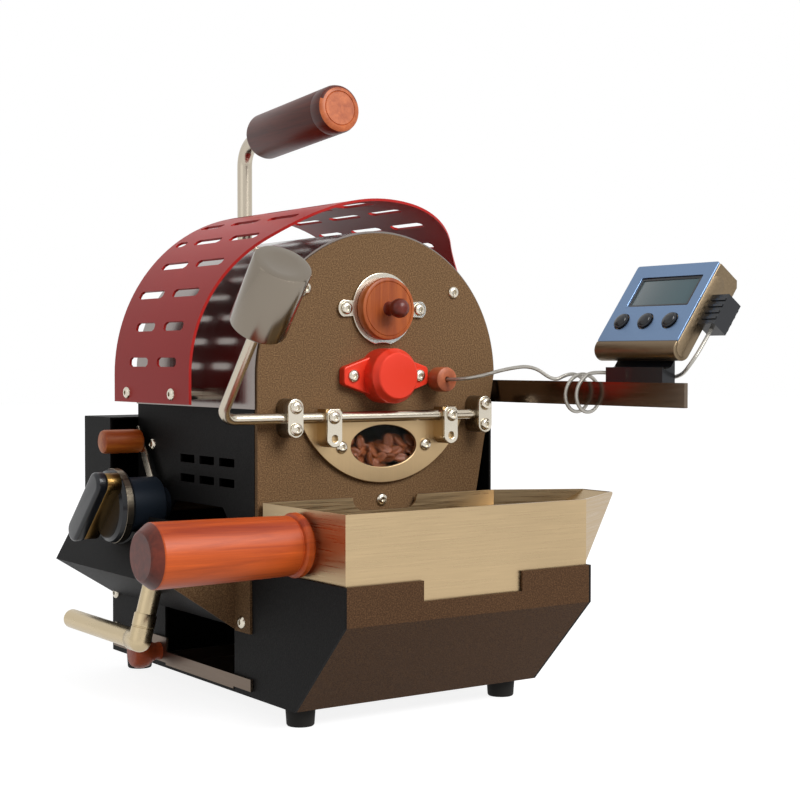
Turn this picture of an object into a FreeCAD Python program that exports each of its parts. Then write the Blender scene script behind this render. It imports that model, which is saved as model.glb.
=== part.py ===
# Home coffee bean roaster: gas burner, turning drum, side trough, cooling tray and lead thermometer.
# Millimetres. The front faces -Y, +X is to the right, +Z is up. The origin lies on the ground,
# under the drum's axis, in the plane of the front plate's face.
import FreeCAD, Part

import math
import os
import re

import Sketcher

doc = FreeCAD.newDocument("CoffeeRoaster")

# Driving sizes, each kept in one named cell
SIZES = [
    ("body_width", 170, "across the two side panels"),
    ("sheet_thick", 1.5, "steel sheet of panels, pan and trough"),
    ("front_thick", 3, "front plate"),
    ("axis_height", 195.3, "drum axis above the ground"),
    ("shell_radius", 86, "outside of the drum shell"),
    ("shell_thick", 1.2, "polished sheet of the shell"),
    ("shell_front", 1.5, "shell's front edge behind the front face"),
    ("shell_hem", 176.6, "height of the shell's lower edge"),
    ("body_depth", 155, "front face to the back of the rear plate"),
    ("fit_gap", 0.1, "slip fit between fixed sheets"),
    ("moving_gap", 0.3, "between pieces that move past each other"),
    ("foot_height", 11.4, "rubber foot, ground to pan"),
    ("foot_radius", 8.5, "rubber foot"),
    ("foot_inset", 13.7, "foot centre in from the side panel"),
    ("foot_front", 24.4, "front feet ahead of the front face"),
    ("foot_back", 182.8, "rear feet behind the front face"),
    ("bin_reach", 91.6, "bin's front ahead of the front face"),
    ("bin_top", 85.8, "height of the bin's rim"),
    ("bin_bend", 64.3, "height where the bin's front slopes away"),
    ("slope_foot", 40.8, "where the slope meets the floor, ahead of the front face"),
    ("base_depth", 195, "front face to the back of the pan"),
    ("pan_back_height", 112, "height of the pan's upturned back"),
    ("notch_width", 68, "notch in the bin's rim"),
    ("notch_depth", 11.3, "depth of that notch"),
    ("opening_front", 27, "side opening, near end"),
    ("opening_back", 117, "side opening, far end"),
    ("opening_top", 118, "side opening, upper edge"),
    ("opening_corner", 14, "cut corners of the side opening"),
    ("vent_length", 18.5, "vent slot"),
    ("vent_height", 5, "vent slot"),
    ("vent_pitch", 25, "from vent to vent along the body"),
    ("vent_rise", 12, "from vent row to vent row"),
    ("vent_start", 26.7, "near end of the first vent"),
    ("vent_low", 130.1, "lower edge of the lower vents"),
    ("port_radius", 58, "bean port behind the door"),
    ("port_chord", 167.5, "height of the bean port's straight upper edge"),
    ("charge_height", 235, "height of the charge port's centre"),
    ("charge_bore", 16.5, "radius of the charge port"),
    ("ring_radius", 21.5, "outside of the charge ring"),
    ("ring_thick", 2, "charge ring"),
    ("ring_ear", 26, "charge ring's ear screws from its centre"),
    ("ear_radius", 5.4, "rounding of the charge ring's ears"),
    ("ring_notch", 18, "radius of the ring's hollow above the bearing cap"),
    ("plug_radius", 18.5, "wooden charge plug's face"),
    ("plug_thick", 6, "wooden charge plug's face"),
    ("plug_depth", 9, "plug's spigot inside the port"),
    ("knob_neck", 3.4, "radius of the plug knob's neck"),
    ("knob_ball", 5.8, "radius of the plug knob's ball"),
    ("knob_reach", 19.5, "ball's centre ahead of the front face"),
    ("drum_radius", 62, "outside of the drum"),
    ("drum_thick", 1.5, "drum wall"),
    ("drum_front", 9, "drum's open front edge behind the front face"),
    ("drum_back", 142, "drum's back face behind the front face"),
    ("vane_height", 12, "mixing vane"),
    ("vane_thick", 1.5, "mixing vane"),
    ("vane_start", 4, "vanes behind the drum's front edge"),
    ("spider_place", 96, "drum's spokes behind the front face"),
    ("spider_width", 8, "drum's spokes"),
    ("spider_thick", 2.5, "drum's spokes"),
    ("spider_hub", 6, "length of the spokes' hub"),
    ("spider_turn", 45, "spokes turned from the vanes, degrees"),
    ("shaft_radius", 5, "drum shaft"),
    ("shaft_fit", 0.05, "running fit of the shaft in its bearings"),
    ("hub_radius", 9, "hubs on the shaft"),
    ("bearing_length", 60, "bearing flange, tip to tip"),
    ("bearing_tip", 10, "height of the flange's cut tips"),
    ("bearing_waist", 30, "height of the flange at its middle"),
    ("bearing_thick", 6, "bearing flange"),
    ("bearing_screw", 23.5, "flange screws from the axis"),
    ("cap_radius", 16.3, "bearing cap"),
    ("cap_reach", 18.5, "cap's face ahead of the front face"),
    ("cap_bevel", 2.8, "bevel round the cap's face"),
    ("cap_floor", 3.5, "thickness of the cap's closed end"),
    ("rear_bearing_thick", 6, "rear bearing"),
    ("probe_across", 37, "probe to the right of the axis"),
    ("probe_height", 193, "probe above the ground"),
    ("probe_knob", 7.5, "radius of the probe's wooden knob"),
    ("probe_reach", 16, "knob's face ahead of the front face"),
    ("probe_collar", 5.2, "radius of the probe's steel collar"),
    ("probe_collar_long", 5, "probe's steel collar"),
    ("probe_radius", 1.5, "probe's steel stem"),
    ("probe_depth", 46, "stem behind the front face"),
    ("hinge_height", 171.5, "door hinge rod above the ground"),
    ("hinge_reach", 8, "hinge rod ahead of the front face"),
    ("rod_radius", 3.2, "door hinge rod"),
    ("rod_fit", 0.05, "running fit of the rod in its clamps"),
    ("arm_across", 112.8, "weight arm to the left of the axis"),
    ("arm_bend", 9, "bend radius of the rod"),
    ("arm_lean", 39.6, "arm's lean towards the front, degrees"),
    ("arm_length", 66, "hinge rod to the weight's near end"),
    ("weight_radius", 16, "counterweight"),
    ("weight_length", 42, "counterweight"),
    ("weight_edge", 1.2, "bevel of the counterweight"),
    ("clamp_across", 67.5, "rod clamps from the axis"),
    ("clamp_width", 10, "rod clamp and link plate"),
    ("clamp_tall", 22.4, "rod clamp and link plate"),
    ("clamp_depth", 12, "rod clamp's block"),
    ("link_thick", 2, "link plates of clamps and door"),
    ("clamp_screw", 6.2, "clamp screws above and below the rod"),
    ("door_radius", 63.5, "round edge of the door, about the drum's axis"),
    ("door_thick", 2.5, "door plate"),
    ("link_across", 41.5, "door links from the axis"),
    ("link_drop", 12.3, "link's lower hole below the rod"),
    ("link_top", 5, "link's upper edge above the rod"),
    ("link_bore", 2.1, "radius of the link's open lower hole"),
    ("window_width", 47, "sight window"),
    ("window_tall", 25, "sight window"),
    ("window_height", 153.6, "centre of the sight window above the ground"),
    ("glass_lap", 2, "glass beyond the window's edge"),
    ("glass_thick", 2, "sight glass"),
    ("door_screw", 30, "door screws from the axis"),
    ("cover_radius", 105, "outside of the perforated cover"),
    ("cover_thick", 1.5, "perforated cover"),
    ("cover_hem", 178.5, "height of the cover's lower edge"),
    ("cover_back", 147, "cover's back edge behind the front face"),
    ("cover_peak", 3, "cover's front edge ahead of the front face, at the top"),
    ("swoop_flat", 18, "straight half of the front edge, seen from above"),
    ("swoop_bend", 62, "first curve of the front edge, seen from above"),
    ("swoop_turn", 50, "turn of that curve, degrees"),
    ("swoop_end", 15, "angle where the front edge ends, degrees"),
    ("slot_pitch", 12, "from slot row to slot row, degrees"),
    ("slot_start", 4.4, "first slot row above the axis, degrees"),
    ("slot_height", 5.6, "cover's slots"),
    ("slot_short", 26, "slots of the two lowest rows"),
    ("slot_long", 34, "slots of the other rows"),
    ("slot_margin", 17, "first slot behind the cover's front edge"),
    ("slot_gap", 12, "from slot to slot along a row"),
    ("stand_radius", 3.5, "standoffs between shell and cover"),
    ("cover_screw_drop", 6, "cover screws below the axis, degrees"),
    ("cover_screw_near", 67, "cover screws behind the front face"),
    ("cover_screw_far", 128, "cover screws behind the front face"),
    ("carry_radius", 5, "rod of the carrying handle"),
    ("carry_back", 166, "foot of the carrying rod behind the front face"),
    ("carry_rise", 350.5, "height of the grip's axis at the back"),
    ("carry_foot", 8, "radius of the carrying rod's foot"),
    ("carry_foot_tall", 2.5, "carrying rod's foot"),
    ("carry_bend", 16, "bend radius of the carrying rod"),
    ("carry_tilt", 4.5, "rise of the grip towards the front, degrees"),
    ("grip_back", 139, "back end of the grip behind the front face"),
    ("grip_radius", 15, "carrying grip"),
    ("grip_length", 94, "carrying grip"),
    ("grip_bevel", 2.5, "rounding of the carrying grip's ends"),
    ("box_reach", 104.5, "left face of the motor box from the axis"),
    ("box_low", 112.3, "underside of the motor box"),
    ("box_top", 168, "top of the motor box"),
    ("box_head_width", 84, "raised middle of the motor box"),
    ("box_head_top", 236, "top of the motor box's raised middle"),
    ("motor_radius", 25, "flat geared drum motor"),
    ("motor_length", 17, "flat geared drum motor"),
    ("motor_stand", 19, "motor bracket, rear plate to motor"),
    ("coupling_radius", 8, "coupling sleeve on the shaft"),
    ("coupling_length", 10, "coupling sleeve on the shaft"),
    ("trough_low", 50, "height where the trough leaves the body"),
    ("trough_tip", 125, "trough's edge from the axis"),
    ("trough_tip_height", 75, "height of the trough's edge"),
    ("trough_rim", 106, "trough's rim from the axis"),
    ("trough_rim_height", 109.5, "height of the trough's rim"),
    ("trough_front", 24, "trough's front end behind the front face"),
    ("saddle_gap", 3, "trough's cut-out to the turning gas knob"),
    ("gusset_flange", 18, "gusset's flange on the side panel"),
    ("gusset_drop", 2, "gusset below the trough's foot"),
    ("burner_radius", 6, "burner tube"),
    ("burner_front", 22, "burner tube's near end behind the front face"),
    ("burner_wall", 1, "wall of the burner tube"),
    ("flame_width", 2, "flame slots in the burner tube"),
    ("burner_holes", 11, "flame slots in the burner tube"),
    ("valve_back", 118, "gas valve behind the front face"),
    ("valve_height", 115, "gas valve above the ground"),
    ("valve_radius", 17, "gas valve's body"),
    ("valve_out", 114, "gas valve's outer face from the axis"),
    ("valve_in", 90.5, "gas valve's inner face from the axis"),
    ("valve_pin", 4, "radius of the valve's pins"),
    ("pin_fit", 0.05, "running fit on the valve's pins"),
    ("skirt_radius", 23, "gas knob's skirt"),
    ("skirt_thick", 10, "gas knob's skirt"),
    ("knob_out", 140, "gas knob's outer face from the axis"),
    ("bar_length", 58, "gas knob's grip bar"),
    ("bar_thick", 14, "gas knob's grip bar"),
    ("bar_tilt", 46, "tilt of the grip bar from upright, degrees"),
    ("lever_length", 52, "burner lever from its pin"),
    ("lever_width", 8, "burner lever"),
    ("lever_thick", 1.5, "burner lever"),
    ("lever_lean", 32, "burner lever's lean to the back, degrees"),
    ("lever_tail", 24, "lever's hooked tail, its reach below the pin"),
    ("lever_hook", 15, "lever's hooked tail, its reach to the side"),
    ("lever_grip_radius", 7.5, "burner lever's grip"),
    ("lever_grip_length", 26, "burner lever's grip"),
    ("lever_grip_bevel", 1.5, "bevel of that grip's end"),
    ("grip_screw", 2, "radius of the screw through the lever into its grip"),
    ("lever_grip_out", 45, "grip from the lever's pin"),
    ("gas_across", 123.5, "gas inlet from the axis"),
    ("gas_back", 73, "gas inlet's elbow behind the front face"),
    ("gas_height", 38.5, "gas inlet above the ground"),
    ("gas_radius", 6, "gas inlet tube"),
    ("gas_bore", 4, "bore of the gas inlet"),
    ("gas_length", 100, "gas inlet tube"),
    ("gas_hub", 10, "elbow's hub on the tube"),
    ("gas_riser", 36, "length of the pipe up to the trough"),
    ("gas_tilt", 15, "tilt of that pipe, degrees"),
    ("drawer_height", 8.4, "chaff drawer"),
    ("drawer_reach", 140, "chaff drawer into the body"),
    ("drawer_lip_front", 5, "drawer's lip, near end"),
    ("drawer_lip_back", 190, "drawer's lip, far end"),
    ("drawer_lip_tall", 7, "drawer's lip"),
    ("drawer_tab", 122, "drawer's tab behind the front face"),
    ("drawer_tab_width", 20, "drawer's tab"),
    ("drawer_tab_top", 31, "height of the drawer's tab"),
    ("drawer_knob", 9.5, "radius of the drawer's knob"),
    ("drawer_knob_height", 21.5, "drawer's knob above the ground"),
    ("drawer_lip_low", 2, "drawer's lip above its underside"),
    ("drawer_side_gap", 1, "drawer to the side opening's ends"),
    ("drawer_knob_long", 19, "drawer's knob"),
    ("tray_thick", 1.2, "cooling tray's sheet"),
    ("tray_gap", 0.5, "tray to bin all round"),
    ("tray_top", 123.8, "height of the tray's rim"),
    ("tray_floor", 66.5, "height of the tray's underside"),
    ("tray_back", 3, "tray's back ahead of the front face"),
    ("dip_width", 46, "dip in the tray's back rim"),
    ("dip_depth", 8, "dip in the tray's back rim"),
    ("spout_reach", 49, "spout beyond the tray's right wall"),
    ("spout_low", 87.6, "height where the spout leaves the tray"),
    ("spout_lip", 1.5, "depth of the spout at its lip"),
    ("spout_tip_front", 58, "spout's lip ahead of the front face, near end"),
    ("spout_tip_back", 30, "spout's lip ahead of the front face, far end"),
    ("handle_reach", 45, "tray handle ahead of the front face"),
    ("handle_height", 104, "tray handle above the ground"),
    ("handle_radius", 17.5, "tray handle"),
    ("handle_length", 96, "tray handle"),
    ("handle_ring", 1.5, "turned ring from the tray's wall"),
    ("handle_ring_long", 5.5, "turned ring"),
    ("handle_bevel", 5, "rounding of the tray handle's end"),
    ("strip_height", 178.5, "meter arm's lower edge"),
    ("strip_tall", 13.7, "meter arm"),
    ("strip_thick", 2.5, "meter arm"),
    ("strip_back", 34, "meter arm's back end behind the front face"),
    ("strip_reach", 166, "meter arm's front end ahead of the front face"),
    ("meter_back", 96.5, "meter's back side ahead of the front face"),
    ("meter_width", 65, "thermometer case"),
    ("meter_tall", 62.5, "thermometer's face"),
    ("meter_thin", 12.5, "thermometer case at the foot"),
    ("meter_deep", 20, "thermometer case at the head"),
    ("meter_lean", 36.2, "thermometer's lean, degrees"),
    ("meter_foot_across", 80, "foot of the thermometer's face from the axis"),
    ("meter_foot_height", 209, "foot of the thermometer's face above the ground"),
    ("screen_width", 49, "thermometer's screen"),
    ("screen_tall", 21, "thermometer's screen"),
    ("screen_side", 9, "screen in from the case's side"),
    ("screen_low", 32.5, "screen above the face's foot"),
    ("screen_sink", 1.2, "screen below the face"),
    ("button_radius", 5, "thermometer's buttons"),
    ("button_rise", 2.6, "buttons above the face"),
    ("button_travel", 0.8, "buttons' travel"),
    ("button_low", 21.8, "buttons above the face's foot"),
    ("button_side", 12, "first button in from the case's side"),
    ("button_pitch", 19.5, "from button to button"),
    ("clip_long", 46, "clip under the thermometer"),
    ("plug_across", 111, "lead's plug from the axis"),
    ("plug_up", 227, "lead's plug above the ground"),
    ("lead_radius", 1.1, "thermometer's lead"),
    ("head_radius", 3.8, "button screw's head"),
    ("head_tall", 2.1, "button screw's head"),
    ("head_sides", 10, "flats of a button screw's head"),
]

NAMES = {name for name, size, note in SIZES}
SIZE = {name: size for name, size, note in SIZES}

sheet = doc.addObject("Spreadsheet::Sheet", "Sizes")
for row, (name, size, note) in enumerate(SIZES, 1):
    sheet.set(f"A{row}", name)
    sheet.set(f"B{row}", str(size))
    sheet.set(f"C{row}", note)
    sheet.setAlias(f"B{row}", name)
doc.recompute()


# Small functions that tie an object's sizes to the sheet
def linked(size):
    """The same sum, with each named size read from the sheet."""
    def cell(word):
        name = word.group()
        return "Sizes." + name if name in NAMES else name
    return re.sub(r"[a-z_][a-z_0-9]*", cell, str(size))


def bind(item, **sizes):
    for name, size in sizes.items():
        item.setExpression(name, linked(size))
    return item


# How a piece drawn along Z is turned to lie along each direction
TURNS = {
    "Z": ((0, 0, 1), 0),
    "X": ((0, 1, 0), 90),
    "-X": ((0, 1, 0), -90),
    "Y": ((1, 0, 0), -90),
    "-Y": ((1, 0, 0), 90),
    "-Z": ((1, 0, 0), 180),
}


def place(item, at, along="Z"):
    axis, angle = TURNS[along]
    turn = FreeCAD.Rotation(FreeCAD.Vector(*axis), angle)
    item.Placement = FreeCAD.Placement(FreeCAD.Vector(0, 0, 0), turn)
    for side, size in zip("xyz", at):
        item.setExpression("Placement.Base." + side, linked(size))
    return item


def lean(item, axis, angle):
    """Turns a placed piece about an axis by a named angle."""
    item.Placement.Rotation = FreeCAD.Rotation(FreeCAD.Vector(*axis), 1)
    item.setExpression("Placement.Rotation.Angle", linked(angle))
    return item


def block(name, length, width, height, at, along="Z"):
    item = doc.addObject("Part::Box", name)
    return place(bind(item, Length=length, Width=width, Height=height), at, along)


def rod(name, radius, length, at, along="Z"):
    item = doc.addObject("Part::Cylinder", name)
    return place(bind(item, Radius=radius, Height=length), at, along)


def ball(name, radius, at):
    item = doc.addObject("Part::Sphere", name)
    return place(bind(item, Radius=radius), at)


def join(name, pieces):
    item = doc.addObject("Part::MultiFuse", name)
    item.Shapes = pieces
    item.Refine = True
    return item


def overlap(name, pieces):
    item = doc.addObject("Part::MultiCommon", name)
    item.Shapes = pieces
    item.Refine = True
    return item


def cut(name, base, tools):
    item = doc.addObject("Part::Cut", name)
    item.Base = base
    item.Tool = tools[0] if len(tools) == 1 else join(name + "_tools", tools)
    item.Refine = True
    return item


def group(name, pieces):
    item = doc.addObject("Part::Compound", name)
    item.Links = pieces
    return item


# Small functions for bodies with sketches
def body(name):
    return doc.addObject("PartDesign::Body", name)


def sketch(item, role, offset=None):
    drawing = item.newObject("Sketcher::SketchObject", item.Name + "_sketch")
    plane = next(feature for feature in item.Origin.OriginFeatures if feature.Role == role)
    drawing.AttachmentSupport = [(plane, "")]
    drawing.MapMode = "FlatFace"
    if offset is not None:
        drawing.setExpression("AttachmentOffset.Base.z", linked(offset))
    return drawing


def hold(drawing, geometry, point, across, up):
    """Holds a point of a sketch at two sizes from the sketch's origin."""
    drawn = drawing.getPoint(geometry, point)
    for kind, place_now, size in (("DistanceX", drawn.x, across), ("DistanceY", drawn.y, up)):
        number = drawing.addConstraint(Sketcher.Constraint(kind, -1, 1, geometry, point, place_now))
        drawing.setExpression(f"Constraints[{number}]", linked(size))


def outline(drawing, corners):
    """A closed outline of lines, each corner held at its two sizes."""
    count = len(corners)
    spots = [FreeCAD.Vector(math.cos(2 * math.pi * turn / count), math.sin(2 * math.pi * turn / count), 0)
             for turn in range(count)]
    first = drawing.GeometryCount
    for turn in range(count):
        drawing.addGeometry(Part.LineSegment(spots[turn], spots[(turn + 1) % count]))
    for turn in range(count):
        following = first + (turn + 1) % count
        drawing.addConstraint(Sketcher.Constraint("Coincident", first + turn, 2, following, 1))
    for turn, (across, up) in enumerate(corners):
        hold(drawing, first + turn, 1, across, up)
    return drawing


def oblong(drawing, left, right, low, high):
    return outline(drawing, [(left, low), (right, low), (right, high), (left, high)])


def circle(drawing, across, up, radius):
    number = drawing.addGeometry(Part.Circle(FreeCAD.Vector(0, 0, 0), FreeCAD.Vector(0, 0, 1), 1))
    hold(drawing, number, 3, across, up)
    ring = drawing.addConstraint(Sketcher.Constraint("Radius", number, 1.0))
    drawing.setExpression(f"Constraints[{ring}]", linked(radius))
    return drawing


def arch(drawing, radius, centre, foot):
    """A half round on two upright sides, closed by a straight foot."""
    middle = FreeCAD.Vector(0, 100, 0)
    upright = FreeCAD.Vector(0, 0, 1)
    curve = drawing.addGeometry(Part.ArcOfCircle(Part.Circle(middle, upright, 50), 0, math.pi))
    left = drawing.addGeometry(Part.LineSegment(FreeCAD.Vector(-50, 100, 0), FreeCAD.Vector(-50, 10, 0)))
    base = drawing.addGeometry(Part.LineSegment(FreeCAD.Vector(-50, 10, 0), FreeCAD.Vector(50, 10, 0)))
    right = drawing.addGeometry(Part.LineSegment(FreeCAD.Vector(50, 10, 0), FreeCAD.Vector(50, 100, 0)))
    for one, end, other, start in ((curve, 2, left, 1), (left, 2, base, 1), (base, 2, right, 1),
                                   (right, 2, curve, 1)):
        drawing.addConstraint(Sketcher.Constraint("Coincident", one, end, other, start))
    drawing.addConstraint(Sketcher.Constraint("Vertical", left))
    drawing.addConstraint(Sketcher.Constraint("Horizontal", base))
    for end in (1, 2):
        drawing.addConstraint(Sketcher.Constraint("Horizontal", curve, end, curve, 3))
    drawing.addConstraint(Sketcher.Constraint("PointOnObject", curve, 3, -2))
    held = drawing.addConstraint(Sketcher.Constraint("DistanceY", -1, 1, curve, 3, 100))
    drawing.setExpression(f"Constraints[{held}]", linked(centre))
    held = drawing.addConstraint(Sketcher.Constraint("DistanceY", base, 1, curve, 3, 90))
    drawing.setExpression(f"Constraints[{held}]", linked(f"({centre}) - ({foot})"))
    ring = drawing.addConstraint(Sketcher.Constraint("Radius", curve, 50.0))
    drawing.setExpression(f"Constraints[{ring}]", linked(radius))
    return drawing


def segment(drawing, radius, centre, chord):
    """The part of a disc below a level chord."""
    middle = FreeCAD.Vector(0, 100, 0)
    ring = Part.Circle(middle, FreeCAD.Vector(0, 0, 1), 50)
    curve = drawing.addGeometry(Part.ArcOfCircle(ring, math.radians(210), math.radians(330)))
    drop = 50 * math.sin(math.radians(30))
    half = 50 * math.cos(math.radians(30))
    line = drawing.addGeometry(Part.LineSegment(FreeCAD.Vector(half, 100 - drop, 0),
                                                FreeCAD.Vector(-half, 100 - drop, 0)))
    drawing.addConstraint(Sketcher.Constraint("Coincident", curve, 2, line, 1))
    drawing.addConstraint(Sketcher.Constraint("Coincident", line, 2, curve, 1))
    drawing.addConstraint(Sketcher.Constraint("Horizontal", line))
    drawing.addConstraint(Sketcher.Constraint("PointOnObject", curve, 3, -2))
    for number, point, drawn, size in ((curve, 3, 100, centre), (line, 1, 100 - drop, chord)):
        held = drawing.addConstraint(Sketcher.Constraint("DistanceY", -1, 1, number, point, drawn))
        drawing.setExpression(f"Constraints[{held}]", linked(size))
    held = drawing.addConstraint(Sketcher.Constraint("Radius", curve, 50.0))
    drawing.setExpression(f"Constraints[{held}]", linked(radius))
    return drawing


def pad(item, drawing, length, backward=False):
    feature = item.newObject("PartDesign::Pad", item.Name + "_pad")
    feature.Profile = drawing
    feature.Reversed = backward
    return bind(feature, Length=length)


def pocket(item, drawing, backward=False):
    """Cuts a sketch right through a pad made the same way, backward or not."""
    feature = item.newObject("PartDesign::Pocket", item.Name + "_pocket")
    feature.Profile = drawing
    feature.Type = "ThroughAll"
    feature.Reversed = not backward
    return feature


def turned(name, profile, at, along="Z"):
    """A turned piece: its profile is given as pairs of radius and place along the axis."""
    item = body(name)
    drawing = outline(sketch(item, "XZ_Plane"), profile)
    feature = item.newObject("PartDesign::Revolution", name + "_turn")
    feature.Profile = drawing
    feature.ReferenceAxis = (drawing, ["V_Axis"])
    feature.Angle = 360
    return place(item, at, along)


def row(item, feature, axis, length, count):
    """A straight row of a feature, with the given length from first to last."""
    pattern = item.newObject("PartDesign::LinearPattern", item.Name + "_row")
    pattern.Originals = [feature]
    pattern.Direction = (feature.Profile[0], [axis])
    pattern.Occurrences = count
    item.Tip = pattern
    return bind(pattern, Length=length)


# Places worked out from the driving sizes
half_width = "(body_width / 2)"
inner_side = "(body_width / 2 - sheet_thick)"
arch_radius = "(shell_radius - shell_thick - fit_gap)"
floor_top = "(foot_height + sheet_thick)"
panel_top = "(shell_hem - fit_gap)"
shell_inside = "(shell_radius - shell_thick)"
hinge_y = "(-hinge_reach)"
door_front = "(-moving_gap - door_thick)"
cap_bore = "(shaft_radius + shaft_fit)"
strip_in = "(shell_radius)"

# Places where a button screw stands on the front plate, as across and height
plate_screws = [
    ("(-0.625 * arch_radius)", "axis_height + 0.6 * arch_radius"),
    ("(0.625 * arch_radius)", "axis_height + 0.6 * arch_radius"),
    ("0", "axis_height - 0.87 * arch_radius"),
]
plate_screws = [tuple(size.replace("arch_radius", arch_radius) for size in spot) for spot in plate_screws]
ring_screws = [("-ring_ear", "charge_height"), ("ring_ear", "charge_height")]
flange_screws = [("-bearing_screw", "axis_height"), ("bearing_screw", "axis_height")]

# Pan: one folded sheet with the bin's rim, its sloping front, the floor and an upturned back
pan = body("base_pan")
fold = sketch(pan, "YZ_Plane")
outline(fold, [
    ("-bin_reach", "bin_top"),
    ("-bin_reach", "bin_bend"),
    ("-slope_foot", "foot_height"),
    ("base_depth", "foot_height"),
    ("base_depth", "pan_back_height"),
    ("base_depth - sheet_thick", "pan_back_height"),
    ("base_depth - sheet_thick", floor_top),
    ("-slope_foot + 0.4 * sheet_thick", floor_top),
    ("-bin_reach + sheet_thick", "bin_bend + 0.4 * sheet_thick"),
    ("-bin_reach + sheet_thick", "bin_top"),
])
pad(pan, fold, f"2 * {inner_side}")
notch = sketch(pan, "XZ_Plane")
oblong(notch, f"{inner_side} - notch_width / 2", f"{inner_side} + notch_width / 2",
       "bin_top - notch_depth", "bin_top + 1")
pocket(pan, notch)
place(pan, (f"-{inner_side}", "0", "0"))

# Side panels: flat sheets from the bin's rim to the back, the left one with its opening and vents
side_outline = [
    ("-bin_reach", "bin_bend"),
    ("-slope_foot", "foot_height"),
    ("base_depth", "foot_height"),
    ("base_depth", "pan_back_height"),
    ("body_depth", "pan_back_height"),
    ("body_depth", panel_top),
    ("front_thick + fit_gap", panel_top),
    ("front_thick + fit_gap", "bin_top"),
    ("-bin_reach", "bin_top"),
]
left = body("left_side_panel")
left_pad = pad(left, outline(sketch(left, "YZ_Plane"), side_outline), "sheet_thick")
opening = sketch(left, "YZ_Plane")
outline(opening, [
    ("opening_front", floor_top),
    ("opening_back", floor_top),
    ("opening_back", "opening_top - opening_corner"),
    ("opening_back - opening_corner", "opening_top"),
    ("opening_front + opening_corner", "opening_top"),
    ("opening_front", "opening_top - opening_corner"),
])
pocket(left, opening)
pocket(left, circle(sketch(left, "YZ_Plane"), "valve_back", "valve_height", "burner_radius + fit_gap"))
vents = sketch(left, "YZ_Plane")
for rank in range(2):
    low = f"vent_low + {rank} * vent_rise"
    oblong(vents, "vent_start", "vent_start + vent_length", low, f"{low} + vent_height")
vent_cut = pocket(left, vents)
row(left, vent_cut, "H_Axis", "2 * vent_pitch", 3)
place(left, (f"-{half_width}", "0", "0"))

right = body("right_side_panel")
pad(right, outline(sketch(right, "YZ_Plane"), side_outline), "sheet_thick")
place(right, (inner_side, "0", "0"))

# Front plate: an arch inside the shell's edge, with the ports for beans, charge, shaft and probe
front = body("front_plate")
front_pad = pad(front, arch(sketch(front, "XZ_Plane"), arch_radius, "axis_height", floor_top),
                "front_thick", backward=True)
ports = sketch(front, "XZ_Plane")
segment(ports, "port_radius", "axis_height", "port_chord")
circle(ports, "0", "charge_height", "charge_bore")
circle(ports, "0", "axis_height", "shaft_radius + moving_gap")
circle(ports, "probe_across", "probe_height", "probe_radius + fit_gap")
pocket(front, ports, backward=True)
corners = sketch(front, "XZ_Plane")
for edge in (-1, 1):
    oblong(corners, f"{edge} * ({inner_side} - fit_gap)", f"{edge} * ({half_width} + 1)",
           "foot_height", "bin_top + fit_gap")
pocket(front, corners, backward=True)
place(front, ("0", "0", "0"))

# Rear plate: the same arch, with the rear bearing's bore and no ports
rear = body("rear_plate")
pad(rear, arch(sketch(rear, "XZ_Plane"), arch_radius, "axis_height", floor_top), "sheet_thick", backward=True)
bore = sketch(rear, "XZ_Plane")
circle(bore, "0", "axis_height", "hub_radius")
for edge in (-1, 1):
    oblong(bore, f"{edge} * ({inner_side} - fit_gap)", f"{edge} * ({half_width} + 1)",
           "foot_height", f"{panel_top} + fit_gap")
pocket(rear, bore, backward=True)
place(rear, ("0", "body_depth - sheet_thick", "0"))

# Drum shell: polished half round with straight skirts
shell = body("outer_shell")
pad(shell, arch(sketch(shell, "XZ_Plane"), "shell_radius", "axis_height", "shell_hem"),
    "body_depth - shell_front", backward=True)
hollow = arch(sketch(shell, "XZ_Plane"), shell_inside, "axis_height", "shell_hem - 5")
pocket(shell, hollow, backward=True)
place(shell, ("0", "shell_front", "0"))


def swoop_edges(radius, peak, flat, bend, turn, end):
    """The cover's front edge seen from above, from the middle to one side: flat, curve, counter curve."""
    first = (flat + bend * math.sin(turn), peak + bend * (1 - math.cos(turn)))
    back = (radius - first[0]) / (math.sin(turn) - math.sin(end))
    centre = (first[0] + back * math.sin(turn), first[1] - back * math.cos(turn))
    half_turn = (turn + end) / 2
    middle = (flat + bend * math.sin(turn / 2), peak + bend * (1 - math.cos(turn / 2)))
    passing = (centre[0] - back * math.sin(half_turn), centre[1] + back * math.cos(half_turn))
    last = (centre[0] - back * math.sin(end), centre[1] + back * math.cos(end))
    return [(0, peak), (flat, peak), middle, first, passing, last]


def swoop_reach(spots, across):
    """How far back the cover's front edge lies at a distance from the middle."""
    for near, far in zip(spots, spots[1:]):
        if near[0] <= across <= far[0]:
            share = (across - near[0]) / (far[0] - near[0])
            return near[1] + share * (far[1] - near[1])
    return spots[-1][1]


def slot_solid(length, height, depth):
    """A slot's tool: a bar along Y, standing out along X, each end rounded in three short edges."""
    middle = length / 2 - height / 2
    corners = []
    for side in (1, -1):
        for angle in (-90, -30, 30, 90):
            turn = math.radians(angle)
            corners.append(FreeCAD.Vector(0, side * (middle + math.cos(turn) * height / 2),
                                          side * math.sin(turn) * height / 2))
    outline_wire = Part.makePolygon(corners + corners[:1])
    return Part.Face(outline_wire).extrude(FreeCAD.Vector(depth, 0, 0))


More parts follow.
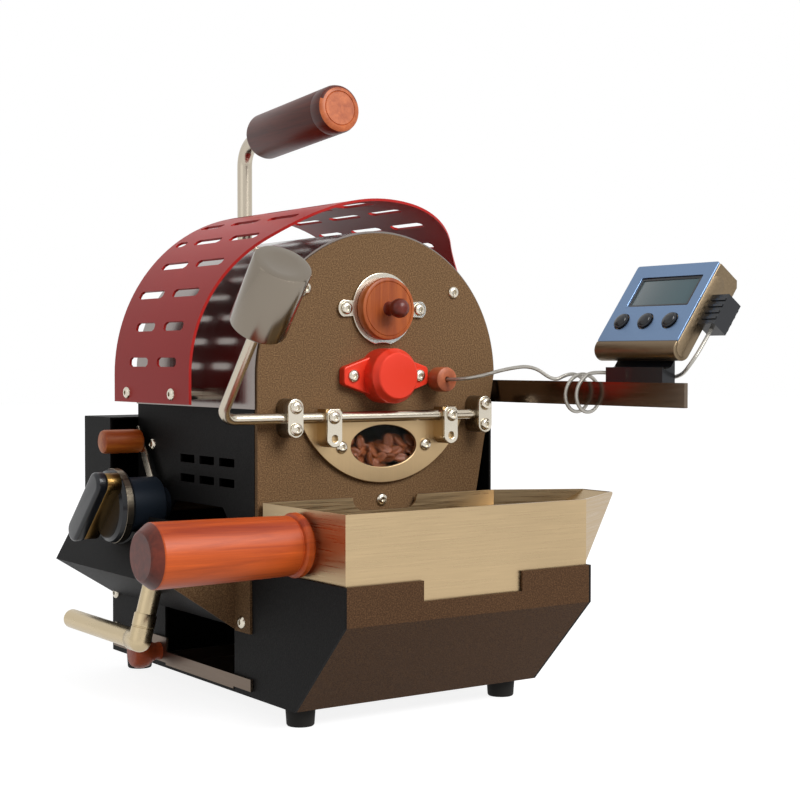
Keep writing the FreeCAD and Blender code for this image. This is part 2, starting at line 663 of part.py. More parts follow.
def arch_solid(radius, centre, foot, near, far):
    """A solid half round on straight sides, from near to far along Y."""
    corners = [FreeCAD.Vector(side * radius, near, height)
               for side, height in ((-1, foot), (-1, centre), (1, centre), (1, foot))]
    top = FreeCAD.Vector(0, near, centre + radius)
    edges = [
        Part.LineSegment(corners[0], corners[1]).toShape(),
        Part.Arc(corners[1], top, corners[2]).toShape(),
        Part.LineSegment(corners[2], corners[3]).toShape(),
        Part.LineSegment(corners[3], corners[0]).toShape(),
    ]
    return Part.Face(Part.Wire(edges)).extrude(FreeCAD.Vector(0, far - near, 0))


def cover_shape(size):
    """The perforated cover: a rolled sheet whose front edge swoops forward over the top."""
    centre = size["axis_height"]
    radius = size["cover_radius"]
    inside = radius - size["cover_thick"]
    near = -size["cover_peak"]
    hem = size["cover_hem"]
    sheet_solid = arch_solid(radius, centre, hem, near - 1, size["cover_back"])
    sheet_solid = sheet_solid.cut(arch_solid(inside, centre, hem - 1, near - 2, size["cover_back"] + 1))
    spots = swoop_edges(radius + size["cover_thick"], near, size["swoop_flat"], size["swoop_bend"],
                        math.radians(size["swoop_turn"]), math.radians(size["swoop_end"]))
    tools = []
    for side in (-1, 1):
        bends = [FreeCAD.Vector(side * across, back, hem - 1) for across, back in spots]
        front_near = near - 5
        wing = [FreeCAD.Vector(side * (radius + 5), spots[-1][1], hem - 1),
                FreeCAD.Vector(side * (radius + 5), front_near, hem - 1),
                FreeCAD.Vector(0, front_near, hem - 1)]
        edges = [
            Part.LineSegment(bends[0], bends[1]).toShape(),
            Part.Arc(bends[1], bends[2], bends[3]).toShape(),
            Part.Arc(bends[3], bends[4], bends[5]).toShape(),
            Part.LineSegment(bends[5], wing[0]).toShape(),
            Part.LineSegment(wing[0], wing[1]).toShape(),
            Part.LineSegment(wing[1], wing[2]).toShape(),
            Part.LineSegment(wing[2], bends[0]).toShape(),
        ]
        tools.append(Part.Face(Part.Wire(edges)).extrude(FreeCAD.Vector(0, 0, 2 * radius)))
    rows = int((90 - size["slot_start"]) // size["slot_pitch"]) + 1
    slots_end = size["cover_back"] - size["slot_gap"] / 2
    for side in (-1, 1):
        for rank in range(rows):
            tools += slot_row(size, spots, side, rank, slots_end)
    tools += slot_row(size, spots, 1, (90 - size["slot_start"]) / size["slot_pitch"], slots_end)
    return sheet_solid.cut(tools)


def slot_row(size, spots, side, rank, row_end):
    """The tools of one row of slots, at its place round the cover."""
    inside = size["cover_radius"] - size["cover_thick"]
    angle = size["slot_start"] + rank * size["slot_pitch"]
    across = size["cover_radius"] * math.cos(math.radians(angle))
    length = size["slot_short"] if angle < size["slot_start"] + 1.5 * size["slot_pitch"] else size["slot_long"]
    start = swoop_reach(spots, across) + size["slot_margin"]
    tools = []
    while start < row_end - size["slot_gap"]:
        end = min(start + length, row_end)
        tool = slot_solid(end - start, size["slot_height"], 4 * size["cover_thick"])
        tool.translate(FreeCAD.Vector(inside - size["cover_thick"], (start + end) / 2, 0))
        turn = -angle if side > 0 else angle - 180
        tool.rotate(FreeCAD.Vector(0, 0, 0), FreeCAD.Vector(0, 1, 0), turn)
        tool.translate(FreeCAD.Vector(0, 0, size["axis_height"]))
        tools.append(tool)
        start = end + size["slot_gap"]
    return tools


cover = doc.addObject("Part::Feature", "perforated_cover")
cover.Shape = cover_shape(SIZE)

# Standoffs: round bars that hold the cover off the shell
stands = []
for side in (-1, 1):
    for back in ("cover_screw_near", "cover_screw_far"):
        start = f"{side} * (shell_radius + fit_gap / 2)"
        length = "(cover_radius - cover_thick - shell_radius - fit_gap)"
        height = "axis_height - cover_radius * sin(cover_screw_drop)"
        stands.append(rod("standoff", "stand_radius", length, (start, back, height),
                          "X" if side > 0 else "-X"))
group("cover_standoffs", stands)

# Motor box behind the rear plate, open towards it, its raised middle over the drum motor
def box_hull(name, wall, reach):
    """The motor box's outer or inner form: a low box with a raised middle."""
    near = "body_depth + fit_gap" if wall == "0" else "body_depth - fit_gap"
    low = block(name + "_low", f"box_reach + {half_width} - 2 * {wall}", reach,
                f"box_top - box_low - 2 * {wall}", (f"-box_reach + {wall}", near, f"box_low + {wall}"))
    head = block(name + "_head", f"box_head_width - 2 * {wall}", reach, f"box_head_top - box_low - 2 * {wall}",
                 (f"-box_head_width / 2 + {wall}", near, f"box_low + {wall}"))
    return join(name, [low, head])


cut("rear_box", box_hull("box_outside", "0", "base_depth - body_depth - fit_gap"),
    [box_hull("box_inside", "sheet_thick", "base_depth - body_depth + fit_gap - sheet_thick")])

motor_face = "(body_depth + motor_stand)"
half_bracket = "(motor_radius + 1)"
bracket_outer = block("bracket_outer", f"2 * {half_bracket}", "motor_stand", f"2 * {half_bracket}",
                      (f"-{half_bracket}", "body_depth", f"axis_height - {half_bracket}"))
bracket_inner = block("bracket_inner", f"2 * {half_bracket} + 2", "motor_stand - 2 * sheet_thick",
                      f"2 * {half_bracket} - 2 * sheet_thick",
                      (f"-{half_bracket} - 1", "body_depth + sheet_thick",
                       f"axis_height - {half_bracket} + sheet_thick"))
bracket_bore = rod("bracket_bore", "hub_radius + moving_gap", "motor_stand + 2",
                   ("0", "body_depth - 1", "axis_height"), "Y")
cut("motor_bracket", bracket_outer, [bracket_inner, bracket_bore])
join("drum_motor", [
    rod("motor_can", "motor_radius", "motor_length", ("0", motor_face, "axis_height"), "Y"),
    block("motor_terminal", "16", "motor_length * 0.6", "8",
          ("-8", f"{motor_face} + motor_length * 0.2", "axis_height - motor_radius - 6")),
])

# Front bearing: a red flange with cut tips, and its closed round cap, bored for the shaft
bearing = body("front_bearing")
flange = sketch(bearing, "XZ_Plane")
outline(flange, [
    ("-bearing_length / 2", "axis_height - bearing_tip / 2"),
    ("0", "axis_height - bearing_waist / 2"),
    ("bearing_length / 2", "axis_height - bearing_tip / 2"),
    ("bearing_length / 2", "axis_height + bearing_tip / 2"),
    ("0", "axis_height + bearing_waist / 2"),
    ("-bearing_length / 2", "axis_height + bearing_tip / 2"),
])
pad(bearing, flange, "bearing_thick")
cap = sketch(bearing, "XZ_Plane")
circle(cap, "0", "axis_height", "cap_radius")
cap_pad = pad(bearing, cap, "cap_reach")
doc.recompute()
rim = [f"Edge{number}" for number, edge in enumerate(cap_pad.Shape.Edges, 1)
       if len(edge.Vertexes) == 1 and edge.BoundBox.YMax < -SIZE["cap_reach"] + 0.01]
bevel = bearing.newObject("PartDesign::Chamfer", "cap_bevelled")
bevel.Base = (cap_pad, rim)
bind(bevel, Size="cap_bevel")
bored = bearing.newObject("PartDesign::Pocket", "cap_bored")
bored.Profile = circle(sketch(bearing, "XZ_Plane"), "0", "axis_height", cap_bore)
bored.Reversed = True
bind(bored, Length="cap_reach - cap_floor")
place(bearing, ("0", "0", "0"))

# Rear bearing: a flanged ring in the rear plate
turned("rear_bearing", [
    (cap_bore, "-rear_bearing_thick"),
    ("hub_radius + 4", "-rear_bearing_thick"),
    ("hub_radius + 4", "0"),
    ("hub_radius - fit_gap", "0"),
    ("hub_radius - fit_gap", "sheet_thick"),
    (cap_bore, "sheet_thick"),
], ("0", "body_depth - sheet_thick", "axis_height"), "Y")

# Drum: a rolled barrel with a closed back, mixing vanes, a spoked front and its shaft
barrel = body("drum_barrel")
wall = outline(sketch(barrel, "XZ_Plane"), [
    ("hub_radius", "drum_back - drum_thick"),
    ("drum_radius - drum_thick", "drum_back - drum_thick"),
    ("drum_radius - drum_thick", "drum_front"),
    ("drum_radius", "drum_front"),
    ("drum_radius", "drum_back"),
    ("hub_radius", "drum_back"),
])
spun = barrel.newObject("PartDesign::Revolution", "barrel_turn")
spun.Profile = wall
spun.ReferenceAxis = (wall, ["V_Axis"])
spun.Angle = 360
place(barrel, ("0", "0", "axis_height"), "Y")

vanes = body("drum_vanes")
vane = sketch(vanes, "XY_Plane", "drum_front + vane_start")
oblong(vane, "drum_radius - drum_thick - vane_height", "sqrt((drum_radius - drum_thick)^2 - vane_thick^2) - 0.01",
       "0", "vane_thick")
vane_pad = pad(vanes, vane, "drum_back - drum_thick - drum_front - vane_start")
ring_of = vanes.newObject("PartDesign::PolarPattern", "vanes_round")
ring_of.Originals = [vane_pad]
ring_of.Axis = (vane, ["N_Axis"])
ring_of.Angle = 360
ring_of.Occurrences = 4
vanes.Tip = ring_of
place(vanes, ("0", "0", "axis_height"), "Y")

turned("drum_shaft", [
    ("0", "-cap_reach + cap_floor + 1"),
    ("shaft_radius", "-cap_reach + cap_floor + 1"),
    ("shaft_radius", "drum_back - 6"),
    ("hub_radius", "drum_back - 6"),
    ("hub_radius", "drum_back + 2"),
    ("shaft_radius", "drum_back + 2"),
    ("shaft_radius", f"{motor_face} - 2 - coupling_length"),
    ("coupling_radius", f"{motor_face} - 2 - coupling_length"),
    ("coupling_radius", f"{motor_face} - 2"),
    ("0", f"{motor_face} - 2"),
], ("0", "0", "axis_height"), "Y")

spider = body("drum_spider")
spoke = sketch(spider, "XY_Plane", "spider_place")
oblong(spoke, "shaft_radius + 1", "sqrt((drum_radius - drum_thick)^2 - spider_width^2 / 4) - 0.01",
       "-spider_width / 2", "spider_width / 2")
spoke_pad = pad(spider, spoke, "spider_thick")
spokes = spider.newObject("PartDesign::PolarPattern", "spokes_round")
spokes.Originals = [spoke_pad]
spokes.Axis = (spoke, ["N_Axis"])
spokes.Angle = 360
spokes.Occurrences = 3
spider.Tip = spokes
collar = circle(sketch(spider, "XY_Plane", "spider_place"), "0", "0", "hub_radius")
pad(spider, collar, "spider_hub")
pierced = spider.newObject("PartDesign::Pocket", "spider_bore")
pierced.Profile = circle(sketch(spider, "XY_Plane", "spider_place - 1"), "0", "0", "shaft_radius")
pierced.Reversed = True
bind(pierced, Length="spider_hub + 2")
place(spider, ("0", "0", "axis_height"), "Y")
spider_turn = FreeCAD.Rotation(FreeCAD.Vector(0, 1, 0), SIZE["spider_turn"])
spider.Placement = FreeCAD.Placement(FreeCAD.Vector(0, 0, 0), spider_turn * spider.Placement.Rotation)

# Charge port: a steel ring with two ears, and the wooden plug with its knob
ring = body("charge_ring")
ring_face = circle(sketch(ring, "XZ_Plane"), "0", "charge_height", "ring_radius")
pad(ring, ring_face, "ring_thick")
ears = sketch(ring, "XZ_Plane")
for edge in (-1, 1):
    oblong(ears, f"{edge} * (ring_radius - 6)", f"{edge} * ring_ear",
           "charge_height - ear_radius * 0.8", "charge_height + ear_radius * 0.8")
pad(ring, ears, "ring_thick")
for edge in (-1, 1):
    pad(ring, circle(sketch(ring, "XZ_Plane"), f"{edge} * ring_ear", "charge_height", "ear_radius"), "ring_thick")
holes = circle(sketch(ring, "XZ_Plane"), "0", "charge_height", "charge_bore")
circle(holes, "0", "axis_height", "ring_notch")
pocket(ring, holes)
place(ring, ("0", "0", "0"))

turned("charge_plug", [
    ("0", "0"),
    ("plug_radius", "0"),
    ("plug_radius", "plug_thick"),
    ("charge_bore - moving_gap", "plug_thick"),
    ("charge_bore - moving_gap", "plug_thick + ring_thick + plug_depth"),
    ("0", "plug_thick + ring_thick + plug_depth"),
], ("0", "-ring_thick - moving_gap - plug_thick", "charge_height"), "Y")
turned("plug_knob", [
    ("0", "0"),
    ("knob_neck", "0"),
    ("knob_neck", "knob_ball"),
    ("knob_ball", "1.5 * knob_ball"),
    ("knob_ball", "2.1 * knob_ball"),
    ("knob_ball * 0.6", "2.75 * knob_ball"),
    ("0", "2.75 * knob_ball"),
], ("0", "-ring_thick - moving_gap - plug_thick", "charge_height"), "-Y")

# Bean probe: wooden knob, steel collar and the stem into the drum
turned("probe_knob", [
    ("0", "probe_collar_long"),
    ("probe_knob", "probe_collar_long"),
    ("probe_knob", "probe_reach - 1"),
    ("probe_knob - 1", "probe_reach"),
    ("0", "probe_reach"),
], ("probe_across", "0", "probe_height"), "-Y")
turned("probe_stem", [
    ("0", "-probe_depth"),
    ("probe_radius", "-probe_depth + probe_radius"),
    ("probe_radius", "0"),
    ("probe_collar", "0"),
    ("probe_collar", "probe_collar_long"),
    ("0", "probe_collar_long"),
], ("probe_across", "0", "probe_height"), "-Y")


def stadium(name, tall, depth, at):
    """An upright bar with round ends, standing out along -Y from the place of its middle."""
    across, back, middle = at
    reach = f"(({tall}) / 2 - clamp_width / 2)"
    return join(name, [
        block(name + "_bar", "clamp_width", depth, f"2 * {reach}",
              (f"{across} - clamp_width / 2", f"{back} - ({depth})", f"{middle} - {reach}")),
        rod(name + "_upper", "clamp_width / 2", depth, (across, back, f"{middle} + {reach}"), "-Y"),
        rod(name + "_lower", "clamp_width / 2", depth, (across, back, f"{middle} - {reach}"), "-Y"),
    ])


# Rod clamps: two blocks with link plates, the rod running through both
clamps = []
plates = []
clamp_screws = []
for edge in (-1, 1):
    across = f"({edge} * clamp_across)"
    spots = [(across, f"hinge_height + {up} * clamp_screw") for up in (-1, 1)]
    clamp_screws += spots
    clamp = stadium("clamp_block", "clamp_tall", "clamp_depth", (across, "0", "hinge_height"))
    bore = rod("clamp_bore", "rod_radius + rod_fit", "clamp_width + 2",
               (f"{across} - clamp_width / 2 - 1", hinge_y, "hinge_height"), "X")
    clamps.append(cut("rod_clamp", clamp, [bore]))
    plates.append(stadium("clamp_plate", "clamp_tall", "link_thick", (across, "-clamp_depth", "hinge_height")))
group("rod_clamps", clamps)
group("clamp_plates", plates)

# Door: the part of a round plate below the hinge rod, with an oval sight window
door_disc = rod("door_disc", "door_radius", "door_thick", ("0", "-moving_gap", "axis_height"), "-Y")
door_limit = block("door_limit", "2 * door_radius", "door_thick + 2", "door_radius",
                   ("-door_radius", f"{door_front} - 1", "hinge_height - door_radius"))


def oval(name, width, tall, depth, front):
    """An oval plate, standing along -Y from its back."""
    ring = doc.addObject("Part::Ellipse", name + "_rim")
    bind(ring, MajorRadius=f"({width}) / 2", MinorRadius=f"({tall}) / 2")
    place(ring, ("0", front, "window_height"), "-Y")
    item = doc.addObject("Part::Extrusion", name)
    item.Base = ring
    item.DirMode = "Custom"
    item.Dir = FreeCAD.Vector(0, -1, 0)
    item.Solid = True
    return bind(item, LengthFwd=depth)


door_screws = [("-door_screw", "window_height"), ("door_screw", "window_height")]
cut("door_plate", overlap("door_round", [door_disc, door_limit]),
    [oval("window_cut", "window_width", "window_tall", "door_thick + 2", "1")])
oval("sight_glass", "window_width + glass_lap", "window_tall + glass_lap", "glass_thick",
     "glass_thick - moving_gap")

blocks = []
links = []
link_screws = []
for edge in (-1, 1):
    across = f"({edge} * link_across)"
    low = "(hinge_height - link_drop)"
    tall = "(link_top + link_drop)"
    link_screws.append((across, "hinge_height"))

    def tongue(name, back, depth):
        bar = block(name + "_bar", "clamp_width", depth, tall,
                    (f"{across} - clamp_width / 2", f"{back} - ({depth})", low))
        end = rod(name + "_end", "clamp_width / 2", depth, (across, back, low), "-Y")
        return join(name, [bar, end])

    base = tongue("link_base", door_front, f"clamp_depth + ({door_front})")
    bore = rod("link_bore", "rod_radius", "clamp_width + 2",
               (f"{across} - clamp_width / 2 - 1", hinge_y, "hinge_height"), "X")
    blocks.append(cut("door_block", base, [bore]))
    face = tongue("link_face", "-clamp_depth", "link_thick")
    hole = rod("link_hole", "link_bore", "link_thick + 2", (across, "-clamp_depth - link_thick - 1", low), "Y")
    links.append(cut("door_link", face, [hole]))
group("door_blocks", blocks)
group("door_links", links)

# Hinge rod: runs through clamps and door blocks, then turns up into the counterweight's arm
hinge = body("hinge_rod")
route = sketch(hinge, "XZ_Plane")
run = route.addGeometry(Part.LineSegment(FreeCAD.Vector(70, 0, 0), FreeCAD.Vector(-90, 0, 0)))
turn = route.addGeometry(Part.ArcOfCircle(
    Part.Circle(FreeCAD.Vector(-90, 10, 0), FreeCAD.Vector(0, 0, 1), 10), math.pi, 1.5 * math.pi))
arm = route.addGeometry(Part.LineSegment(FreeCAD.Vector(-100, 10, 0), FreeCAD.Vector(-100, 70, 0)))
route.addConstraint(Sketcher.Constraint("Tangent", run, 2, turn, 2))
route.addConstraint(Sketcher.Constraint("Tangent", turn, 1, arm, 1))
route.addConstraint(Sketcher.Constraint("Horizontal", run))
route.addConstraint(Sketcher.Constraint("Vertical", arm))
bend_radius = route.addConstraint(Sketcher.Constraint("Radius", turn, 9.0))
route.setExpression(f"Constraints[{bend_radius}]", linked("arm_bend"))
hold(route, run, 1, "clamp_across + clamp_width / 2 - 1", "0")
hold(route, arm, 2, "-arm_across", "arm_length + weight_length / 4")
section = circle(sketch(hinge, "YZ_Plane", "clamp_across + clamp_width / 2 - 1"), "0", "0", "rod_radius")
doc.recompute()
swept = hinge.newObject("PartDesign::AdditivePipe", "rod_sweep")
swept.Profile = section
swept.Spine = (route, ["Edge1", "Edge2", "Edge3"])
place(hinge, ("0", hinge_y, "hinge_height"))
lean(hinge, (1, 0, 0), "arm_lean")

weight = turned("counterweight", [
    ("rod_radius", "arm_length"),
    ("weight_radius - weight_edge", "arm_length"),
    ("weight_radius", "arm_length + weight_edge"),
    ("weight_radius", "arm_length + weight_length - weight_edge"),
    ("weight_radius - weight_edge", "arm_length + weight_length"),
    ("0", "arm_length + weight_length"),
    ("0", "arm_length + weight_length / 4"),
    ("rod_radius", "arm_length + weight_length / 4"),
], ("-arm_across", hinge_y, "hinge_height"))
lean(weight, (1, 0, 0), "arm_lean")

# Trough: a folded sheet under the side opening, its gusset closing the near end
tip_rise = "(trough_rim_height - trough_tip_height)"
trough = body("burner_trough")
outline(sketch(trough, "XZ_Plane"), [
    (f"-{half_width}", "trough_low"),
    ("-trough_tip", "trough_tip_height"),
    ("-trough_rim", "trough_rim_height"),
    ("-trough_rim + sheet_thick", "trough_rim_height - 0.4 * sheet_thick"),
    ("-trough_tip + 1.5 * sheet_thick", "trough_tip_height + 0.2 * sheet_thick"),
    (f"-{half_width} - sheet_thick", "trough_low + 1.7 * sheet_thick"),
    (f"-{half_width} - sheet_thick", "trough_low + 9"),
    (f"-{half_width}", "trough_low + 9"),
])
pad(trough, trough.Group[0], "base_depth - trough_front - sheet_thick", backward=True)
saddle = sketch(trough, "YZ_Plane", "-trough_tip - 5")
saddle_half = "(bar_length / 2 + saddle_gap)"
oblong(saddle, f"valve_back - trough_front - {saddle_half}", f"valve_back - trough_front + {saddle_half}",
       f"valve_height - {saddle_half}", "trough_rim_height + 5")
saddle_cut = trough.newObject("PartDesign::Pocket", "saddle_cut")
saddle_cut.Profile = saddle
saddle_cut.Reversed = True
bind(saddle_cut, Length="trough_tip + 5 - half_width".replace("half_width", half_width))
place(trough, ("0", "trough_front + sheet_thick", "0"))

gusset = body("trough_gusset")
outline(sketch(gusset, "XZ_Plane"), [
    (f"-{half_width}", "trough_low - gusset_drop"),
    ("-trough_tip", "trough_tip_height"),
    ("-trough_rim", "trough_rim_height"),
    (f"-{half_width}", "trough_rim_height"),
])
pad(gusset, gusset.Group[0], "sheet_thick", backward=True)
flap = sketch(gusset, "XZ_Plane")
oblong(flap, f"-{half_width} - sheet_thick", f"-{half_width}", "trough_low - gusset_drop",
       "trough_rim_height")
pad(gusset, flap, "gusset_flange")
place(gusset, ("0", "trough_front", "0"))

# Burner: a slotted tube under the drum, held by the rear plate, and its feed from the gas valve
burner_long = "(body_depth - sheet_thick - burner_front)"
tube = rod("burner_pipe", "burner_radius", burner_long, ("0", "burner_front", "valve_height"), "Y")
feed = rod("burner_feed", "burner_radius", half_width, (f"-{half_width}", "valve_back", "valve_height"), "X")
tube_bore = rod("burner_pipe_bore", "burner_radius - burner_wall", f"{burner_long} - 2 * burner_wall",
                ("0", "burner_front + burner_wall", "valve_height"), "Y")
flames = []
for number in range(int(SIZE["burner_holes"])):
    along = f"burner_front + {burner_long} * ({number} + 0.5) / {SIZE['burner_holes']} - flame_width / 2"
    flames.append(block("flame_slot", "burner_radius", "flame_width", "burner_radius + 1",
                        ("-burner_radius / 2", along, "valve_height")))
cut("burner_tube", join("burner_pipes", [tube, feed]), [tube_bore] + flames)

# Gas valve on the side, its strap to the panel, its knob and the burner lever round the same axis
valve_spot = ("-valve_in", "valve_back", "valve_height")
turned("gas_valve", [
    ("0", f"-(valve_in - {half_width})"),
    ("valve_radius * 0.6", f"-(valve_in - {half_width})"),
    ("valve_radius * 0.6", "-lever_thick - 2 * moving_gap"),
    ("valve_pin", "-lever_thick - 2 * moving_gap"),
    ("valve_pin", "0"),
    ("valve_radius", "0"),
    ("valve_radius", "valve_out - valve_in"),
    ("valve_pin", "valve_out - valve_in"),
    ("valve_pin", "valve_out - valve_in + 8"),
    ("0", "valve_out - valve_in + 8"),
], valve_spot, "-X")
knob = body("gas_knob")
pad(knob, circle(sketch(knob, "XY_Plane", "moving_gap"), "0", "0", "skirt_radius"), "skirt_thick")
bar_reach = "knob_out - valve_out - moving_gap"
bar_straight = "(bar_length / 2 - bar_thick / 2)"
bar = sketch(knob, "XY_Plane", "moving_gap")
oblong(bar, "-bar_thick / 2", "bar_thick / 2", f"-{bar_straight}", bar_straight)
pad(knob, bar, bar_reach)
for edge in (-1, 1):
    pad(knob, circle(sketch(knob, "XY_Plane", "moving_gap"), "0", f"{edge} * {bar_straight}", "bar_thick / 2"),
        bar_reach)
knob_bore = knob.newObject("PartDesign::Pocket", "knob_bore")
knob_bore.Profile = circle(sketch(knob, "XY_Plane"), "0", "0", "valve_pin + pin_fit")
knob_bore.Reversed = True
bind(knob_bore, Length="10")
place(knob, ("-valve_out", "valve_back", "valve_height"))
knob_turn = FreeCAD.Rotation(FreeCAD.Vector(0, 1, 0), -90)
tilt = FreeCAD.Rotation(FreeCAD.Vector(1, 0, 0), SIZE["bar_tilt"])
flat = FreeCAD.Rotation(FreeCAD.Vector(0, 0, 1), 90)
knob.Placement = FreeCAD.Placement(FreeCAD.Vector(0, 0, 0), tilt * knob_turn * flat)

lever = body("burner_lever")
strip = sketch(lever, "XY_Plane", "moving_gap")
oblong(strip, "-lever_width / 2", "lever_width / 2", "0", "lever_length")
pad(lever, strip, "lever_thick")
hook = sketch(lever, "XY_Plane", "moving_gap")
outline(hook, [
    ("0", "lever_width / 2"),
    ("lever_hook", "0"),
    ("lever_hook + lever_width / 4", "-lever_width * 0.7"),
    ("-lever_width / 2", "-lever_tail - lever_width / 4"),
    ("-lever_width * 0.8", "-lever_tail + lever_width / 4"),
    ("lever_hook - lever_width", "-lever_width * 0.6"),
    ("0", "-lever_width / 2"),
])
pad(lever, hook, "lever_thick")
pad(lever, circle(sketch(lever, "XY_Plane", "moving_gap"), "0", "0", "valve_radius * 0.8"), "lever_thick")
lever_holes = sketch(lever, "XY_Plane")
circle(lever_holes, "0", "0", "valve_pin + pin_fit")
circle(lever_holes, "0", "lever_grip_out", "grip_screw")
pocket(lever, lever_holes)
lever_turn = FreeCAD.Rotation(FreeCAD.Vector(0, 1, 0), 90) * FreeCAD.Rotation(FreeCAD.Vector(0, 0, 1), 90)
lever_lean = FreeCAD.Rotation(FreeCAD.Vector(1, 0, 0), -SIZE["lever_lean"])
place(lever, ("-valve_in", "valve_back", "valve_height"))
lever.Placement = FreeCAD.Placement(FreeCAD.Vector(0, 0, 0), lever_lean * lever_turn)
grip_spot = ("-valve_in + moving_gap", "valve_back + lever_grip_out * sin(lever_lean)",
             "valve_height + lever_grip_out * cos(lever_lean)")
turned("lever_grip", [
    ("0", "-lever_thick - grip_screw"),
    ("grip_screw", "-lever_thick - grip_screw"),
    ("grip_screw", "0"),
    ("lever_grip_radius", "0"),
    ("lever_grip_radius", "lever_grip_length - lever_grip_bevel"),
    ("lever_grip_radius - lever_grip_bevel", "lever_grip_length"),
    ("0", "lever_grip_length"),
], grip_spot, "-X")

# Gas inlet: a riser out of the trough's underside, an elbow and the tube for the hose
riser = rod("gas_riser", "gas_radius", "gas_riser", ("-gas_across", "gas_back", "gas_height"))
lean(riser, (0, 1, 0), "gas_tilt")
sleeve = rod("gas_sleeve", "gas_radius + 0.8", "gas_riser * 0.45", ("-gas_across", "gas_back", "gas_height"))
lean(sleeve, (0, 1, 0), "gas_tilt")
gas_elbow = ball("gas_elbow", "gas_radius + 0.8", ("-gas_across", "gas_back", "gas_height"))
gas_tube = rod("gas_tube", "gas_radius", "gas_length", ("-gas_across", "gas_back", "gas_height"), "Y")
hub = rod("elbow_hub", "gas_radius + 0.8", "gas_hub", ("-gas_across", "gas_back", "gas_height"), "Y")
gas_bore = rod("gas_bore_tool", "gas_bore", "gas_length * 0.5", ("-gas_across", "gas_back + gas_length * 0.5 + 1",
                                                                 "gas_height"), "Y")
limit = body("riser_limit")
outline(sketch(limit, "XZ_Plane"), [
    (f"-{half_width}", "trough_low"),
    ("-trough_tip", "trough_tip_height"),
    ("-trough_tip", "trough_rim_height"),
    (f"-{half_width}", "trough_rim_height"),
])
pad(limit, limit.Group[0], "gas_length", backward=True)
cut("gas_inlet", join("gas_pieces", [riser, sleeve, gas_elbow, hub, gas_tube]), [gas_bore, limit])

# Chaff drawer: a shallow tray with a long lip and a turned knob
drawer = body("chaff_drawer")
drawer_near = "(opening_front + drawer_side_gap)"
drawer_far = "(opening_back - drawer_side_gap)"
drawer_base = "(foot_height + sheet_thick + moving_gap)"
lip_top = "(drawer_lip_low + drawer_lip_tall)"
tab_near = "(drawer_tab - drawer_tab_width / 2)"
tab_far = "(drawer_tab + drawer_tab_width / 2)"
plan = sketch(drawer, "XY_Plane")
oblong(plan, f"-{half_width} - moving_gap - 0.01", f"-{half_width} + drawer_reach", drawer_near, drawer_far)
pad(drawer, plan, "drawer_height")
inside = sketch(drawer, "XY_Plane", "sheet_thick")
oblong(inside, f"-{half_width} + 0.2", f"-{half_width} + drawer_reach - sheet_thick",
       f"{drawer_near} + sheet_thick", f"{drawer_far} - sheet_thick")
scooped = drawer.newObject("PartDesign::Pocket", "drawer_hollow")
scooped.Profile = inside
scooped.Reversed = True
bind(scooped, Length="drawer_height")
lip = sketch(drawer, "YZ_Plane", f"-{half_width} - moving_gap")
outline(lip, [
    ("drawer_lip_front", "drawer_lip_low"),
    ("drawer_lip_back", "drawer_lip_low"),
    ("drawer_lip_back", lip_top),
    (tab_far, lip_top),
    (tab_far, f"drawer_tab_top - {drawer_base}"),
    (tab_near, f"drawer_tab_top - {drawer_base}"),
    (tab_near, lip_top),
    ("drawer_lip_front", lip_top),
])
pad(drawer, lip, "sheet_thick", backward=True)
place(drawer, ("0", "0", drawer_base))
turned("drawer_knob", [
    ("0", "0"),
    ("drawer_knob * 0.55", "0"),
    ("drawer_knob * 0.55", "drawer_knob_long * 0.35"),
    ("drawer_knob", "drawer_knob_long * 0.6"),
    ("drawer_knob", "drawer_knob_long * 0.85"),
    ("drawer_knob * 0.75", "drawer_knob_long"),
    ("0", "drawer_knob_long"),
], (f"-{half_width} - moving_gap - sheet_thick", "drawer_tab", "drawer_knob_height"), "-X")

# Cooling tray: a sheet box that sits in the bin, with a spout over its right side
tray_side = f"({inner_side} - tray_gap)"
tray_near = "(bin_reach - sheet_thick - tray_gap)"


def tray_hull(name, wall, lift):
    """The tray's outer or inner form: a box, and a wedge from its side to the spout's lip."""
    near = f"(-{tray_near} + {wall})"
    far = f"(-tray_back - {wall})"
    top = f"(tray_top + {lift})"
    tub = block(name + "_tub", f"2 * {tray_side} - 2 * {wall}", f"{far} - {near}", f"{top} - tray_floor - {wall}",
                (f"-{tray_side} + {wall}", near, f"tray_floor + {wall}"))
    spout = doc.addObject("Part::Wedge", name + "_spout")
    bind(spout, Xmin=f"-({top} - spout_low - 1.5 * {wall})", Xmax="0", Zmin=near, Zmax=far,
         X2min=f"-(spout_lip + {lift} - {wall})", X2max="0",
         Z2min=f"-spout_tip_front + {wall}", Z2max=f"-spout_tip_back - {wall}",
         Ymin=f"-{wall} - 0.2", Ymax=f"spout_reach - 0.4 * {wall}")
    across = FreeCAD.Vector(1, 0, 0)
    back = FreeCAD.Vector(0, 1, 0)
    up = FreeCAD.Vector(0, 0, 1)
    spout.Placement.Rotation = FreeCAD.Rotation(up, across, back, "ZXY")
    for axis, size in zip("xyz", (tray_side, "0", top)):
        spout.setExpression("Placement.Base." + axis, linked(size))
    return join(name, [tub, spout])


tray_outer = tray_hull("tray_outer", "0", "0")
tray_inner = tray_hull("tray_inner", "tray_thick", "5")
dip = block("dip_cut", "dip_width - 2 * dip_depth", "10", "dip_depth + 5",
            ("-dip_width / 2 + dip_depth", "-tray_back - 5", "tray_top - dip_depth"))
dip_sides = []
for edge in (-1, 1):
    middle = f"{edge} * (dip_width / 2 - dip_depth)"
    dip_sides.append(rod("dip_side", "dip_depth", "10", (middle, "-tray_back - 5", "tray_top"), "Y"))
cut("cooling_tray", tray_outer, [tray_inner, dip] + dip_sides)

